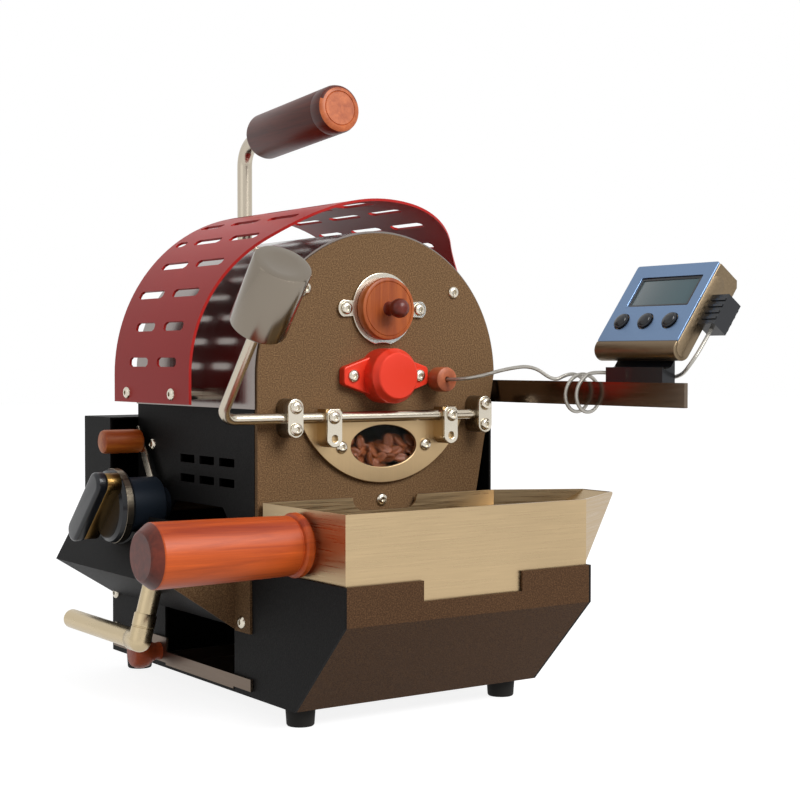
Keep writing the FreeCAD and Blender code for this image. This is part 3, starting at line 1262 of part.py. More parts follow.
turned("tray_handle", [
    ("0", "0"),
    ("handle_radius * 0.9", "0"),
    ("handle_radius * 0.9", "handle_ring"),
    ("handle_radius * 1.03", "handle_ring"),
    ("handle_radius * 1.03", "handle_ring + handle_ring_long"),
    ("handle_radius * 0.94", "handle_ring + handle_ring_long"),
    ("handle_radius", "handle_length - handle_bevel"),
    ("handle_radius * 0.76", "handle_length"),
    ("0", "handle_length"),
], (f"-{tray_side}", "-handle_reach", "handle_height"), "-X")

# Feet: four rubber buffers under the pan
feet = []
for edge in (-1, 1):
    for back in ("-foot_front", "foot_back"):
        feet.append(rod("foot", "foot_radius", "foot_height",
                        (f"{edge} * ({half_width} - foot_inset)", back, "0")))
group("feet", feet)

# Carrying handle: a steel rod standing on the motor box, bent forward into a turned grip
carry = body("carry_rod")
carry_path = sketch(carry, "YZ_Plane")
rise = carry_path.addGeometry(Part.LineSegment(FreeCAD.Vector(166, 238, 0), FreeCAD.Vector(166, 334, 0)))
bend = carry_path.addGeometry(Part.ArcOfCircle(
    Part.Circle(FreeCAD.Vector(150, 334, 0), FreeCAD.Vector(0, 0, 1), 16), 0, math.radians(86)))
reach = carry_path.addGeometry(Part.LineSegment(FreeCAD.Vector(151.1, 350, 0), FreeCAD.Vector(91, 354.2, 0)))
carry_path.addConstraint(Sketcher.Constraint("Tangent", rise, 2, bend, 1))
carry_path.addConstraint(Sketcher.Constraint("Tangent", bend, 2, reach, 1))
carry_path.addConstraint(Sketcher.Constraint("Vertical", rise))
carry_radius = carry_path.addConstraint(Sketcher.Constraint("Radius", bend, 16.0))
carry_path.setExpression(f"Constraints[{carry_radius}]", linked("carry_bend"))
carry_angle = carry_path.addConstraint(Sketcher.Constraint("Angle", reach, math.radians(176)))
carry_path.setExpression(f"Constraints[{carry_angle}]", linked("(180 - carry_tilt) * 1 deg"))
hold(carry_path, rise, 1, "carry_back", "box_head_top + 2")
hold(carry_path, reach, 2, "grip_back - grip_length / 2 * cos(carry_tilt)",
     "carry_rise + (carry_back - grip_back + grip_length / 2 * cos(carry_tilt)) * tan(carry_tilt)")
carry_section = circle(sketch(carry, "XY_Plane", "box_head_top + 2"), "0", "carry_back", "carry_radius")
doc.recompute()
carry_sweep = carry.newObject("PartDesign::AdditivePipe", "carry_sweep")
carry_sweep.Profile = carry_section
carry_sweep.Spine = (carry_path, ["Edge1", "Edge2", "Edge3"])
carry_foot = circle(sketch(carry, "XY_Plane", "box_head_top"), "0", "carry_back", "carry_foot")
pad(carry, carry_foot, "carry_foot_tall")
place(carry, ("0", "0", "0"))
grip = turned("carry_grip", [
    ("carry_radius", "0"),
    ("grip_radius - grip_bevel", "0"),
    ("grip_radius", "grip_bevel"),
    ("grip_radius", "grip_length - grip_bevel"),
    ("grip_radius - grip_bevel", "grip_length"),
    ("0", "grip_length"),
    ("0", "grip_length / 2"),
    ("carry_radius", "grip_length / 2"),
], ("0", "grip_back", "carry_rise + (carry_back - grip_back) * tan(carry_tilt)"), "-Y")
lean(grip, (1, 0, 0), "90 - carry_tilt")

# Meter arm: a flat steel strip on the shell's right side
arm_strip = body("meter_arm")
strip_face = sketch(arm_strip, "YZ_Plane")
oblong(strip_face, "-strip_reach", "strip_back", "strip_height", "strip_height + strip_tall")
arm_screws = [("8", "strip_height + strip_tall / 2"), ("26", "strip_height + strip_tall / 2")]
pad(arm_strip, strip_face, "strip_thick")
place(arm_strip, (strip_in, "0", "0"))

# Thermometer: a leaning case with a sunk screen and three buttons, and the clip that holds it
foot_spot = ("meter_foot_across", "-meter_back", "meter_foot_height")
case = body("meter_case")
profile = sketch(case, "XZ_Plane")
outline(profile, [
    ("0", "0"),
    ("4", "-5"),
    ("meter_thin - 3", "-5"),
    ("meter_thin", "-1"),
    ("meter_thin", "0.42 * meter_tall"),
    ("meter_deep", "0.55 * meter_tall"),
    ("meter_deep", "meter_tall"),
    ("0", "meter_tall"),
])
case_pad = pad(case, profile, "meter_width")
screen_cut = sketch(case, "YZ_Plane")
oblong(screen_cut, "-screen_side - screen_width", "-screen_side", "screen_low", "screen_low + screen_tall")
sunk = case.newObject("PartDesign::Pocket", "screen_sunk")
sunk.Profile = screen_cut
sunk.Reversed = True
bind(sunk, Length="screen_sink + 1")
button_cut = sketch(case, "YZ_Plane")
for number in range(3):
    circle(button_cut, f"-button_side - {number} * button_pitch", "button_low", "button_radius + moving_gap")
drilled = case.newObject("PartDesign::Pocket", "button_holes")
drilled.Profile = button_cut
drilled.Reversed = True
bind(drilled, Length="2 + button_travel + moving_gap")
place(case, foot_spot)
lean(case, (0, 1, 0), "meter_lean")


def on_case(item, depth, side, up):
    """Places a piece at a spot of the leaning case: into it, along it and up its face."""
    turn = FreeCAD.Rotation(FreeCAD.Vector(0, 1, 0), 1)
    item.Placement = FreeCAD.Placement(FreeCAD.Vector(0, 0, 0), turn)
    spot = (f"meter_foot_across + ({depth}) * cos(meter_lean) + ({up}) * sin(meter_lean)",
            f"-meter_back - ({side})",
            f"meter_foot_height - ({depth}) * sin(meter_lean) + ({up}) * cos(meter_lean)")
    for axis, size in zip("xyz", spot):
        item.setExpression("Placement.Base." + axis, linked(size))
    item.setExpression("Placement.Rotation.Angle", linked("meter_lean"))
    return item


screen = doc.addObject("Part::Box", "meter_screen")
bind(screen, Length="1", Width="screen_width", Height="screen_tall")
on_case(screen, "screen_sink", "screen_side + screen_width", "screen_low")
for number, name in enumerate(("meter_button_back", "meter_button_middle", "meter_button_front")):
    button = body(name)
    pad(button, circle(sketch(button, "YZ_Plane", "-button_rise"), "0", "0", "button_radius"), "button_rise + 2")
    on_case(button, "0", f"button_side + {number} * button_pitch", "button_low")

jaw = block("clip_jaw", "strip_thick + 4", "clip_long", "meter_foot_height - strip_height - 4",
            (strip_in, "-meter_back - meter_width / 2 - clip_long / 2", "strip_height + 2"))
seat = block("clip_seat", "8", "clip_long", "meter_foot_height - strip_height - strip_tall - 4",
             (f"{strip_in} - 3", "-meter_back - meter_width / 2 - clip_long / 2", "strip_height + strip_tall"))
cut("meter_clip", join("clip_block", [jaw, seat]), [arm_strip, case])

# Button screws: plain heads, standing wherever sheets are screwed together
def button_screw(at, along):
    """A button screw's head, standing out from the given place."""
    head = doc.addObject("Part::Prism", "button_screw")
    head.Polygon = SIZE["head_sides"]
    return place(bind(head, Circumradius="head_radius", Height="head_tall"), at, along)


heads = [((across, "0", height), "-Y") for across, height in plate_screws]
heads += [((across, "-ring_thick", height), "-Y") for across, height in ring_screws]
heads += [((across, "-bearing_thick", height), "-Y") for across, height in flange_screws]
heads += [((across, "-clamp_depth - link_thick", height), "-Y") for across, height in clamp_screws]
for edge, along in ((-1, "-X"), (1, "X")):
    for back in ("cover_screw_near", "cover_screw_far"):
        height = "axis_height - cover_radius * sin(cover_screw_drop)"
        heads.append(((f"{edge} * cover_radius", back, height), along))
heads.append(((f"-{half_width} - sheet_thick", "trough_front - gusset_flange / 2",
               "trough_low + gusset_drop + head_radius / 2"), "-X"))
heads += [((f"{strip_in} + strip_thick", back, height), "X") for back, height in arm_screws]
group("button_screws", [button_screw(at, along) for at, along in heads])
door_heads = [((across, door_front, height), "-Y") for across, height in door_screws]
door_heads += [((across, "-clamp_depth - link_thick", height), "-Y") for across, height in link_screws]
group("door_screws", [button_screw(at, along) for at, along in door_heads])


# Thermometer's lead: straight runs joined by arcs, and two loose turns round the meter arm
def arc_through(near, corner, far):
    """The arc that leaves near towards a corner and reaches far coming from it."""
    middle = (near + far) * 0.5
    half = (far - near).Length / 2
    rise = (corner - middle).Length
    sag = half * math.tan(math.atan2(rise, half) / 2)
    return Part.Arc(near, middle + (corner - middle) * (sag / rise), far).toShape()


def lead_path(points):
    """Edges of a lead's route, each corner rounded as widely as its two runs allow."""
    edges = []
    radii = []
    start = points[0]
    for before, corner, after in zip(points, points[1:], points[2:]):
        incoming = (corner - before).normalize()
        outgoing = (after - corner).normalize()
        tangent = 0.45 * min((corner - before).Length, (after - corner).Length)
        near = corner - incoming * tangent
        far = corner + outgoing * tangent
        edges.append(Part.LineSegment(start, near).toShape())
        edges.append(arc_through(near, corner, far))
        radii.append(tangent / math.tan(incoming.getAngle(outgoing) / 2))
        start = far
    edges.append(Part.LineSegment(start, points[-1]).toShape())
    return edges, radii


def winding_edges(spots, headings):
    """Two arcs for each step of a winding, tangent to its heading at both ends."""
    edges = []
    for near, far, leave, arrive in zip(spots, spots[1:], headings, headings[1:]):
        gap = far - near
        both = leave + arrive
        spread = 2 * (1 - leave.dot(arrive))
        along = gap.dot(both)
        reach = (-along + math.sqrt(along * along + 2 * spread * gap.dot(gap))) / (2 * spread)
        first = near + leave * reach
        last = far - arrive * reach
        joint = (first + last) * 0.5
        edges.append(arc_through(near, first, joint))
        edges.append(arc_through(joint, last, far))
    return edges


def lead_solid(name, edges, radius):
    """A lead's solid: its section, with a few flats, swept along its edges."""
    start = edges[0].Vertexes[0].Point
    heading = edges[0].tangentAt(edges[0].FirstParameter)
    turn = FreeCAD.Rotation(FreeCAD.Vector(0, 0, 1), heading)
    corners = []
    for number in range(lead_flats + 1):
        angle = math.radians(360 * number / lead_flats)
        corners.append(start + turn.multVec(FreeCAD.Vector(radius * math.cos(angle), radius * math.sin(angle), 0)))
    item = doc.addObject("Part::Feature", name)
    item.Shape = Part.Wire(edges).makePipeShell([Part.makePolygon(corners)], True, False)
    length = sum(edge.Length for edge in edges)
    section = lead_flats / 2 * math.sin(math.radians(360 / lead_flats)) * radius * radius
    print(f"{name}: {length:.1f} long, volume {item.Shape.Volume / length / section:.3f} of section times length")
    return item


lead_flats = 6
strip_middle = SIZE["shell_radius"] + SIZE["strip_thick"] / 2
strip_centre = SIZE["strip_height"] + SIZE["strip_tall"] / 2
turn_radius = 11
turn_pitch = 9.5
turn_first = math.radians(112)
turn_steps = 8
turn_near = -71
spots = []
headings = []
for step in range(turn_steps + 1):
    angle = turn_first - step * math.pi / 2 * 0.98
    spots.append(FreeCAD.Vector(strip_middle + turn_radius * math.cos(angle),
                                turn_near - turn_pitch * step / 4,
                                strip_centre + turn_radius * math.sin(angle)))
    heading = FreeCAD.Vector(math.sin(angle) * turn_radius, -turn_pitch / (2 * math.pi),
                             -math.cos(angle) * turn_radius)
    headings.append(heading.normalize())
winding = winding_edges(spots, headings)
lead_solid("lead_winding", winding, SIZE["lead_radius"])
turn_points = Part.Wire(winding).discretize(Number=400)
turn_long = sum((after - before).Length for before, after in zip(turn_points, turn_points[1:]))
near_turns = int(len(turn_points) * math.pi * turn_radius / turn_long)
middle_gap = min((point - other).Length for rank, point in enumerate(turn_points)
                 for other in turn_points[rank + near_turns:])
print(f"lead_winding: least gap to itself {middle_gap - 2 * SIZE['lead_radius']:.2f}")

probe_points = [
    FreeCAD.Vector(SIZE["probe_across"], -SIZE["probe_reach"], SIZE["probe_height"]),
    FreeCAD.Vector(38.5, -26, 193),
    FreeCAD.Vector(46, -37, 195),
    FreeCAD.Vector(57, -48, 199.5),
    FreeCAD.Vector(68, -59, 201.5),
    spots[0] - headings[0] * 9,
    spots[0],
]
meter_points = [
    spots[-1],
    spots[-1] + headings[-1] * 6,
    FreeCAD.Vector(95.2, -104, 197),
    FreeCAD.Vector(95.8, -121, 195.2),
    FreeCAD.Vector(95.2, -140, 194.6),
    FreeCAD.Vector(93.2, -156, 195.6),
    FreeCAD.Vector(90.6, -166.5, 203),
    FreeCAD.Vector(97, -168, 211.8),
]

plug_depth_in = 12
plug_up = 34
plug_tall = 20
plug_wide = 11
plug_long = 13
plug = doc.addObject("Part::Box", "plug_body")
bind(plug, Length=plug_wide, Width=plug_long, Height=plug_tall)
on_case(plug, f"{plug_depth_in - plug_wide / 2}", f"meter_width + {plug_long}", f"{plug_up - plug_tall / 2}")
ribs = []
for rank in range(4):
    rib = doc.addObject("Part::Box", "plug_rib")
    bind(rib, Length=plug_wide + 1.2, Width=plug_long * 0.8, Height=1.6)
    ribs.append(on_case(rib, f"{plug_depth_in - plug_wide / 2 - 0.6}", f"meter_width + {plug_long - 0.5}",
                        f"{plug_up - plug_tall / 2 + 3 + 4.2 * rank}"))
join("lead_plug", [plug] + ribs)
lean_turn = FreeCAD.Rotation(FreeCAD.Vector(0, 1, 0), SIZE["meter_lean"])
plug_foot = FreeCAD.Vector(SIZE["meter_foot_across"], -SIZE["meter_back"], SIZE["meter_foot_height"])
plug_foot = plug_foot + lean_turn.multVec(FreeCAD.Vector(
    plug_depth_in, -SIZE["meter_width"] - plug_long / 2, plug_up - plug_tall / 2))
plug_down = lean_turn.multVec(FreeCAD.Vector(0, 0, -1))
meter_points = meter_points[:-1] + [plug_foot + plug_down * 12, plug_foot]
for name, points in (("probe_lead", probe_points), ("meter_lead", meter_points)):
    edges, radii = lead_path(points)
    lead_solid(name, edges, SIZE["lead_radius"])
    print(name, "radii", [round(radius, 1) for radius in radii])

# Every sub-part, each written to its own file under its own name
NODES = """
    base_pan left_side_panel right_side_panel front_plate rear_plate outer_shell perforated_cover
    cover_standoffs rear_box motor_bracket drum_motor front_bearing rear_bearing
    drum_barrel drum_vanes drum_spider drum_shaft
    charge_ring charge_plug plug_knob probe_knob probe_stem
    door_plate sight_glass door_blocks door_links door_screws hinge_rod counterweight
    rod_clamps clamp_plates button_screws
    burner_trough trough_gusset burner_tube gas_valve gas_knob burner_lever lever_grip gas_inlet
    chaff_drawer drawer_knob cooling_tray tray_handle feet carry_rod carry_grip
    meter_arm meter_clip meter_case meter_screen meter_button_back meter_button_middle meter_button_front
    lead_plug probe_lead lead_winding meter_lead
""".split()

doc.recompute()
for item in doc.Objects:
    if "Invalid" in item.State or "Error" in item.State:
        raise RuntimeError(f"{item.Label} did not recompute: {item.State}")
for name in NODES:
    item = doc.getObject(name)
    item.Label = name
    if item.Shape.isNull() or not item.Shape.isValid() or not item.Shape.Solids:
        raise RuntimeError(f"{name} has no valid solid")

os.makedirs("parts", exist_ok=True)
for name in NODES:
    doc.getObject(name).Shape.exportStep(f"parts/{name}.step")
print(f"{len(NODES)} sub-parts written")
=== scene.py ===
import math
import random

import bmesh
import bpy
from mathutils import Matrix, Vector


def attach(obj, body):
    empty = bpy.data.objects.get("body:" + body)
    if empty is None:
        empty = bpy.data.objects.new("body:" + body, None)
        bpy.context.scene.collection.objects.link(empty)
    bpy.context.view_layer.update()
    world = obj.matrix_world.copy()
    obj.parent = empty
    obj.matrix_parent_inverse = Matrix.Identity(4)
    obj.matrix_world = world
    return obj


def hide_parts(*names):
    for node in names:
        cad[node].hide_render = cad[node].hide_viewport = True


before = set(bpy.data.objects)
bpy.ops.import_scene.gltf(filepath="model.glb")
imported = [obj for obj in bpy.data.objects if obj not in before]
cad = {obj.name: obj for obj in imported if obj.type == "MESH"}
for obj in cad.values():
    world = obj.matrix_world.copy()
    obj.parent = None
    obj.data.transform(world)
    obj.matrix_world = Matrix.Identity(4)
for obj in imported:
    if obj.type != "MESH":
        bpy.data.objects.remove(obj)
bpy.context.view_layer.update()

mm = 0.001


# Studio: a pale floor, one large soft lamp to the right of the camera and a weak one on the left.
# The camera stands at the front left, a little above the roaster's middle.
def colour(code):
    """An sRGB hex colour as linear values."""
    values = [int(code[place:place + 2], 16) / 255 for place in (1, 3, 5)]
    return tuple(v / 12.92 if v <= 0.04045 else ((v + 0.055) / 1.055) ** 2.4 for v in values) + (1.0,)


def add(tree, kind, inputs=None, **settings):
    """One node with its settings; an input is a value or another node's output socket."""
    made = tree.nodes.new(kind)
    for name, value in settings.items():
        setattr(made, name, value)
    for name, value in (inputs or {}).items():
        socket = made.inputs[name]
        if isinstance(value, bpy.types.NodeSocket):
            tree.links.new(value, socket)
        else:
            socket.default_value = value
    return made


def blank(name):
    """A material with no nodes, and its node tree."""
    made = bpy.data.materials.new(name)
    made.use_nodes = True
    made.node_tree.nodes.clear()
    return made, made.node_tree


def show(thing):
    """Puts an object into the scene."""
    bpy.context.scene.collection.objects.link(thing)


camera = bpy.data.objects.new("camera", bpy.data.cameras.new("camera"))
camera.location = (-0.5351, -0.7940, 0.2050)
camera.rotation_euler = [math.radians(turn) for turn in (88.553, 0, -34.64)]
camera.data.lens = 72.28
camera.data.sensor_width = 36
show(camera)
bpy.context.scene.camera = camera
bpy.context.scene.view_settings.view_transform = "Standard"


def lamp(name, size, power, place, aim=(0, 0, 0.15)):
    """A square soft lamp, sizes in metres and power in watts, that looks at the roaster's middle."""
    light = bpy.data.lights.new(name, "AREA")
    light.size = size
    light.energy = power
    made = bpy.data.objects.new(name, light)
    made.location = place
    made.rotation_euler = (Vector(aim) - Vector(place)).to_track_quat("-Z", "Y").to_euler()
    show(made)


lamp("soft_lamp", 0.9, 27, (0.35, -1.35, 1.15))
lamp("fill_lamp", 1.2, 2, (-1.5, -0.2, 0.9))


def seen_rays(tree):
    """One for rays from the camera, through glass or off a shiny surface, and nought for the rest."""
    path = add(tree, "ShaderNodeLightPath")
    straight = add(tree, "ShaderNodeMath", {0: path.outputs["Is Camera Ray"],
                                            1: path.outputs["Is Transmission Ray"]}, operation="MAXIMUM")
    seen = add(tree, "ShaderNodeMath", {0: straight.outputs[0], 1: path.outputs["Is Glossy Ray"]},
               operation="MAXIMUM")
    return seen.outputs[0]


world = bpy.data.worlds.new("studio")
bpy.context.scene.world = world
world.use_nodes = True
tree = world.node_tree
tree.nodes.clear()
surroundings = add(tree, "ShaderNodeBackground", {"Color": colour("#E9EBEF"), "Strength": 0.45})
white = add(tree, "ShaderNodeBackground", {"Color": (1, 1, 1, 1), "Strength": 1})
mixed = add(tree, "ShaderNodeMixShader", {0: seen_rays(tree), 1: surroundings.outputs[0],
                                          2: white.outputs[0]})
add(tree, "ShaderNodeOutputWorld", {"Surface": mixed.outputs[0]})

floor_half = 6.0
corners = [(-floor_half, -floor_half, 0), (floor_half, -floor_half, 0), (floor_half, floor_half, 0),
           (-floor_half, floor_half, 0)]
floor_mesh = bpy.data.meshes.new("floor")
floor_mesh.from_pydata(corners, [], [(0, 1, 2, 3)])
floor = bpy.data.objects.new("floor", floor_mesh)
show(floor)

# White studio paper: seen rays get its own light plus the lamps' light, so only the roaster's shadow shows.
paper, tree = blank("white_studio_paper")
matt = add(tree, "ShaderNodeBsdfPrincipled", {"Base Color": colour("#969696"), "Roughness": 0.9})
shine = add(tree, "ShaderNodeEmission", {"Color": (1, 1, 1, 1), "Strength": 0.87})
lit = add(tree, "ShaderNodeAddShader", {0: matt.outputs[0], 1: shine.outputs[0]})
mixed = add(tree, "ShaderNodeMixShader", {0: seen_rays(tree), 1: matt.outputs[0], 2: lit.outputs[0]})
add(tree, "ShaderNodeOutputMaterial", {"Surface": mixed.outputs[0]})
floor.data.materials.append(paper)


# Thermometer lead: a thin cable in a braided steel jacket. It leaves the probe's knob, takes two loose
# turns round the meter arm, and runs along the arm to the plug on the meter's front side.
def finish_piece(mesh, name, body, material, angle=35):
    """A named object for a mesh, riding a body, with its finish; edges over the angle stay crisp."""
    mesh.name = name
    mesh.shade_smooth()
    mesh.set_sharp_from_angle(angle=math.radians(angle))
    piece = bpy.data.objects.new(name, mesh)
    show(piece)
    mesh.materials.clear()
    mesh.materials.append(material)
    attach(piece, body)
    return piece


# Braided steel: fine slanting bands that catch the light along the cable. At 420 they are some 1.5 mm
# apart, which is coarser than real strands so that they show.
braid, tree = blank("braided_steel_jacket")
place = add(tree, "ShaderNodeTexCoord").outputs["Object"]
weave = add(tree, "ShaderNodeTexWave", {"Vector": place, "Scale": 420.0, "Distortion": 2.0},
            wave_type="BANDS", bands_direction="DIAGONAL")
bump = add(tree, "ShaderNodeBump", {"Height": weave.outputs["Fac"], "Strength": 0.5, "Distance": 0.0002})
metal = add(tree, "ShaderNodeBsdfPrincipled", {
    "Base Color": colour("#A8A49C"), "Metallic": 0.9, "Roughness": 0.38, "Normal": bump.outputs["Normal"]})
add(tree, "ShaderNodeOutputMaterial", {"Surface": metal.outputs[0]})

# The route in mm: up from the probe, round the arm in two turns that drift forward, and on to the plug.
arm_x, arm_z = 87.25, 185.35
coil_radius, coil_start, coil_end, coil_points = 11.0, -71, -90, 24
first_angle, whole_angle = 112.0, 705.6
route = [(37, -16, 193), (38.5, -26, 193), (46, -37, 195), (57, -48, 199.5), (68, -59, 201.5),
         (74.86, -69.77, 192.21)]
hull_radius = coil_radius / math.cos(math.radians(whole_angle / coil_points / 2))
for step in range(coil_points + 1):
    share = step / coil_points
    angle = math.radians(first_angle - whole_angle * share)
    route.append((arm_x + hull_radius * math.cos(angle), coil_start + (coil_end - coil_start) * share,
                  arm_z + hull_radius * math.sin(angle)))
route += [(85.51, -90.8, 197.73), (95.2, -104, 197), (95.8, -121, 195.2), (95.2, -140, 194.6),
          (93.2, -156, 195.6), (90.6, -166.5, 203), (96.77, -168, 211.60), (103.86, -168, 221.28)]
line = bpy.data.curves.new("thermometer_lead", "CURVE")
line.dimensions = "3D"
line.bevel_depth = 1.1 * mm
line.bevel_resolution = 3
line.resolution_u = 10
spline = line.splines.new("NURBS")
spline.points.add(len(route) - 1)
for point, spot in zip(spline.points, route):
    point.co = [value * mm for value in spot] + [1]
spline.order_u = 3
spline.use_endpoint_u = True
lead = bpy.data.objects.new("thermometer_lead", line)
show(lead)
lead.data.materials.append(braid)
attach(lead, "frame")
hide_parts("probe_lead", "lead_winding", "meter_lead")


# Body, bin, trough and motor box: folded sheet steel with one fine textured bronze powder coat, painted lit
# brown on the front faces as painted sunlight and near black on the sides as painted shade. The sheets are
# screwed together through their flanges.
def powder_coat(name, base, flake, rough=0.6):
    """Textured powder coat: matt, with dimples 0.8 mm wide (1300 to a metre) and a few brighter flakes."""
    made, tree = blank(name)
    place = add(tree, "ShaderNodeTexCoord").outputs["Object"]
    grain = add(tree, "ShaderNodeTexNoise", {"Vector": place, "Scale": 1300.0, "Detail": 2.0,
                                             "Roughness": 0.6})
    cloud = add(tree, "ShaderNodeTexNoise", {"Vector": place, "Scale": 9.0, "Detail": 3.0})
    specks = add(tree, "ShaderNodeMapRange", {"Value": grain.outputs["Fac"], "From Min": 0.42,
                                              "From Max": 0.66})
    tint = add(tree, "ShaderNodeMix", {"Factor": specks.outputs[0], "A": colour(base), "B": colour(flake)},
               data_type="RGBA")
    wash = add(tree, "ShaderNodeMapRange", {"Value": cloud.outputs["Fac"], "To Min": 0.88, "To Max": 1.1})
    shade = add(tree, "ShaderNodeMix", {"Factor": 1.0, "A": tint.outputs["Result"], "B": wash.outputs[0]},
                data_type="RGBA", blend_type="MULTIPLY")
    bump = add(tree, "ShaderNodeBump", {"Height": grain.outputs["Fac"], "Strength": 0.3,
                                        "Distance": 0.0004})
    coat = add(tree, "ShaderNodeBsdfPrincipled", {
        "Base Color": shade.outputs["Result"], "Roughness": rough, "Specular IOR Level": 0.08,
        "Normal": bump.outputs["Normal"]})
    add(tree, "ShaderNodeOutputMaterial", {"Surface": coat.outputs[0]})
    return made


def dress(material, *names):
    """Gives CAD nodes' own meshes their finish."""
    for name in names:
        mesh = cad[name].data
        if not mesh.materials:
            mesh.materials.append(material)
        for place in range(len(mesh.materials)):
            mesh.materials[place] = material


# One bronze coat, matt with a fine sparkle, in three painted tones: the brown of the front faces is painted
# sunlight, the pan's deeper brown is painted shade on its slant, and the near black of the sides and back is
# painted shade.
sunlit_bronze_coat = powder_coat("bronze_powder_coat_painted_sunlight", "#624A33", "#8A6B4A")
shaded_pan_bronze_coat = powder_coat("bronze_powder_coat_painted_pan_shade", "#453020", "#664A32")
shaded_side_bronze_coat = powder_coat("bronze_powder_coat_painted_side_shade", "#0D0C0C", "#181716", 0.55)
dress(sunlit_bronze_coat, "front_plate", "trough_gusset")
dress(shaded_pan_bronze_coat, "base_pan")
dress(shaded_side_bronze_coat, "left_side_panel", "right_side_panel", "rear_plate", "rear_box", "motor_bracket")


# Feet: four moulded rubber buffers, slightly tapered and eased at the bottom edge.
# Each is screwed up into the floor of the pan, near a corner.
def turned(rings, steps=48):
    """A form turned on a lathe: rings of (radius, height) in mm along its own axis."""
    shape = bmesh.new()
    loops = []
    for radius, height in rings:
        count = steps if radius else 1
        turns = [math.tau * step / steps for step in range(count)]
        loops.append([shape.verts.new((radius * math.cos(turn), radius * math.sin(turn), height))
                      for turn in turns])
    for near, far in zip(loops, loops[1:]):
        for step in range(steps):
            after = (step + 1) % steps
            corners = [near[step % len(near)], near[after % len(near)], far[after % len(far)],
                       far[step % len(far)]]
            corners = list(dict.fromkeys(corners))
            if len(corners) > 2:
                shape.faces.new(corners)
    return shape


def settle(shape, foot=(0, 0, 0), along=(0, 0, 1)):
    """Puts a form's foot at a point in mm with its axis along a direction; gives a mesh in metres."""
    turn = Vector((0, 0, 1)).rotation_difference(Vector(along)).to_matrix().to_4x4()
    shape.transform(Matrix.Scale(mm, 4) @ Matrix.Translation(foot) @ turn)
    bmesh.ops.remove_doubles(shape, verts=shape.verts, dist=0.00001)
    bmesh.ops.recalc_face_normals(shape, faces=shape.faces)
    mesh = bpy.data.meshes.new("form")
    shape.to_mesh(mesh)
    shape.free()
    return mesh


def joined(meshes):
    """Several meshes as one."""
    shape = bmesh.new()
    for mesh in meshes:
        shape.from_mesh(mesh)
        bpy.data.meshes.remove(mesh)
    mesh = bpy.data.meshes.new("joined")
    shape.to_mesh(mesh)
    shape.free()
    return mesh


def satin(name, base, rough, metallic=0.0, coat=0.0, peel_scale=350.0, shine=0.3):
    """A smooth coloured surface with slow changes of tone and orange peel, so many ripples to a metre."""
    made, tree = blank(name)
    place = add(tree, "ShaderNodeTexCoord").outputs["Object"]
    peel = add(tree, "ShaderNodeTexNoise", {"Vector": place, "Scale": peel_scale, "Detail": 2.0})
    cloud = add(tree, "ShaderNodeTexNoise", {"Vector": place, "Scale": 14.0, "Detail": 3.0})
    wash = add(tree, "ShaderNodeMapRange", {"Value": cloud.outputs["Fac"], "To Min": 0.88, "To Max": 1.1})
    shade = add(tree, "ShaderNodeMix", {"Factor": 1.0, "A": colour(base), "B": wash.outputs[0]},
                data_type="RGBA", blend_type="MULTIPLY")
    bump = add(tree, "ShaderNodeBump", {"Height": peel.outputs["Fac"], "Strength": 0.08,
                                        "Distance": 0.0003})
    shell = add(tree, "ShaderNodeBsdfPrincipled", {
        "Base Color": shade.outputs["Result"], "Roughness": rough, "Metallic": metallic,
        "Coat Weight": coat, "Specular IOR Level": shine, "Normal": bump.outputs["Normal"]})
    add(tree, "ShaderNodeOutputMaterial", {"Surface": shell.outputs[0]})
    return made


# Moulded rubber: dull black with a grain of about 1 mm and hardly any highlight.
black_rubber = satin("matt_black_rubber", "#1A1815", 0.8, peel_scale=900.0)
foot_rings = [(0, 0), (7.4, 0), (7.9, 0.7), (8.5, 9), (8.5, 11.4), (0, 11.4)]
foot_side, foot_front, foot_back = 71.3, -24.4, 182.8
foot_spots = [(side, back, 0) for side in (-foot_side, foot_side) for back in (foot_front, foot_back)]
feet = finish_piece(joined([settle(turned(foot_rings), spot) for spot in foot_spots]), "rubber_feet",
                    "frame", black_rubber)
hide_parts("feet")


# Burner trough: one folded sheet under the side opening, open at the top and screwed to the side panel.
# Its rim has a round saddle cut for the gas knob.
valve_back, valve_height = 118, 115
saddle_radius, saddle_reach, saddle_steps = 23.7, 76, 8
trough_front, trough_back, rim_height = 25.5, 195, 109.5
panel, fold, fold_height, rim_lean = -85, -125, 75, 19 / 34.5
stations = [trough_front]
stations += [valve_back + saddle_radius * math.sin(math.radians(turn))
             for turn in range(-saddle_reach, saddle_reach + 1, saddle_steps)]
stations.append(trough_back)
shape = bmesh.new()
rows = []
for back in stations:
    share = min(1.0, abs(back - valve_back) / saddle_radius)
    rim = min(rim_height, valve_height - saddle_radius * math.sqrt(1 - share ** 2))
    edge = fold + (rim - fold_height) * rim_lean
    section = [(panel, 50), (fold, fold_height), (edge, rim), (edge + 1.5, rim - 0.7), (fold + 2, 75.6),
               (panel - 1.5, 52.6), (panel - 1.5, 59), (panel, 59)]
    rows.append([shape.verts.new((side, back, height)) for side, height in section])
for near, far in zip(rows, rows[1:]):
    for place in range(len(near)):
        after = (place + 1) % len(near)
        shape.faces.new((near[place], near[after], far[after], far[place]))
shape.faces.new(rows[0])
shape.faces.new(rows[-1])
# The trough wears the near black copy of the coat, which is painted shade.
trough = finish_piece(settle(shape), "folded_trough", "frame", shaded_side_bronze_coat)
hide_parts("burner_trough")


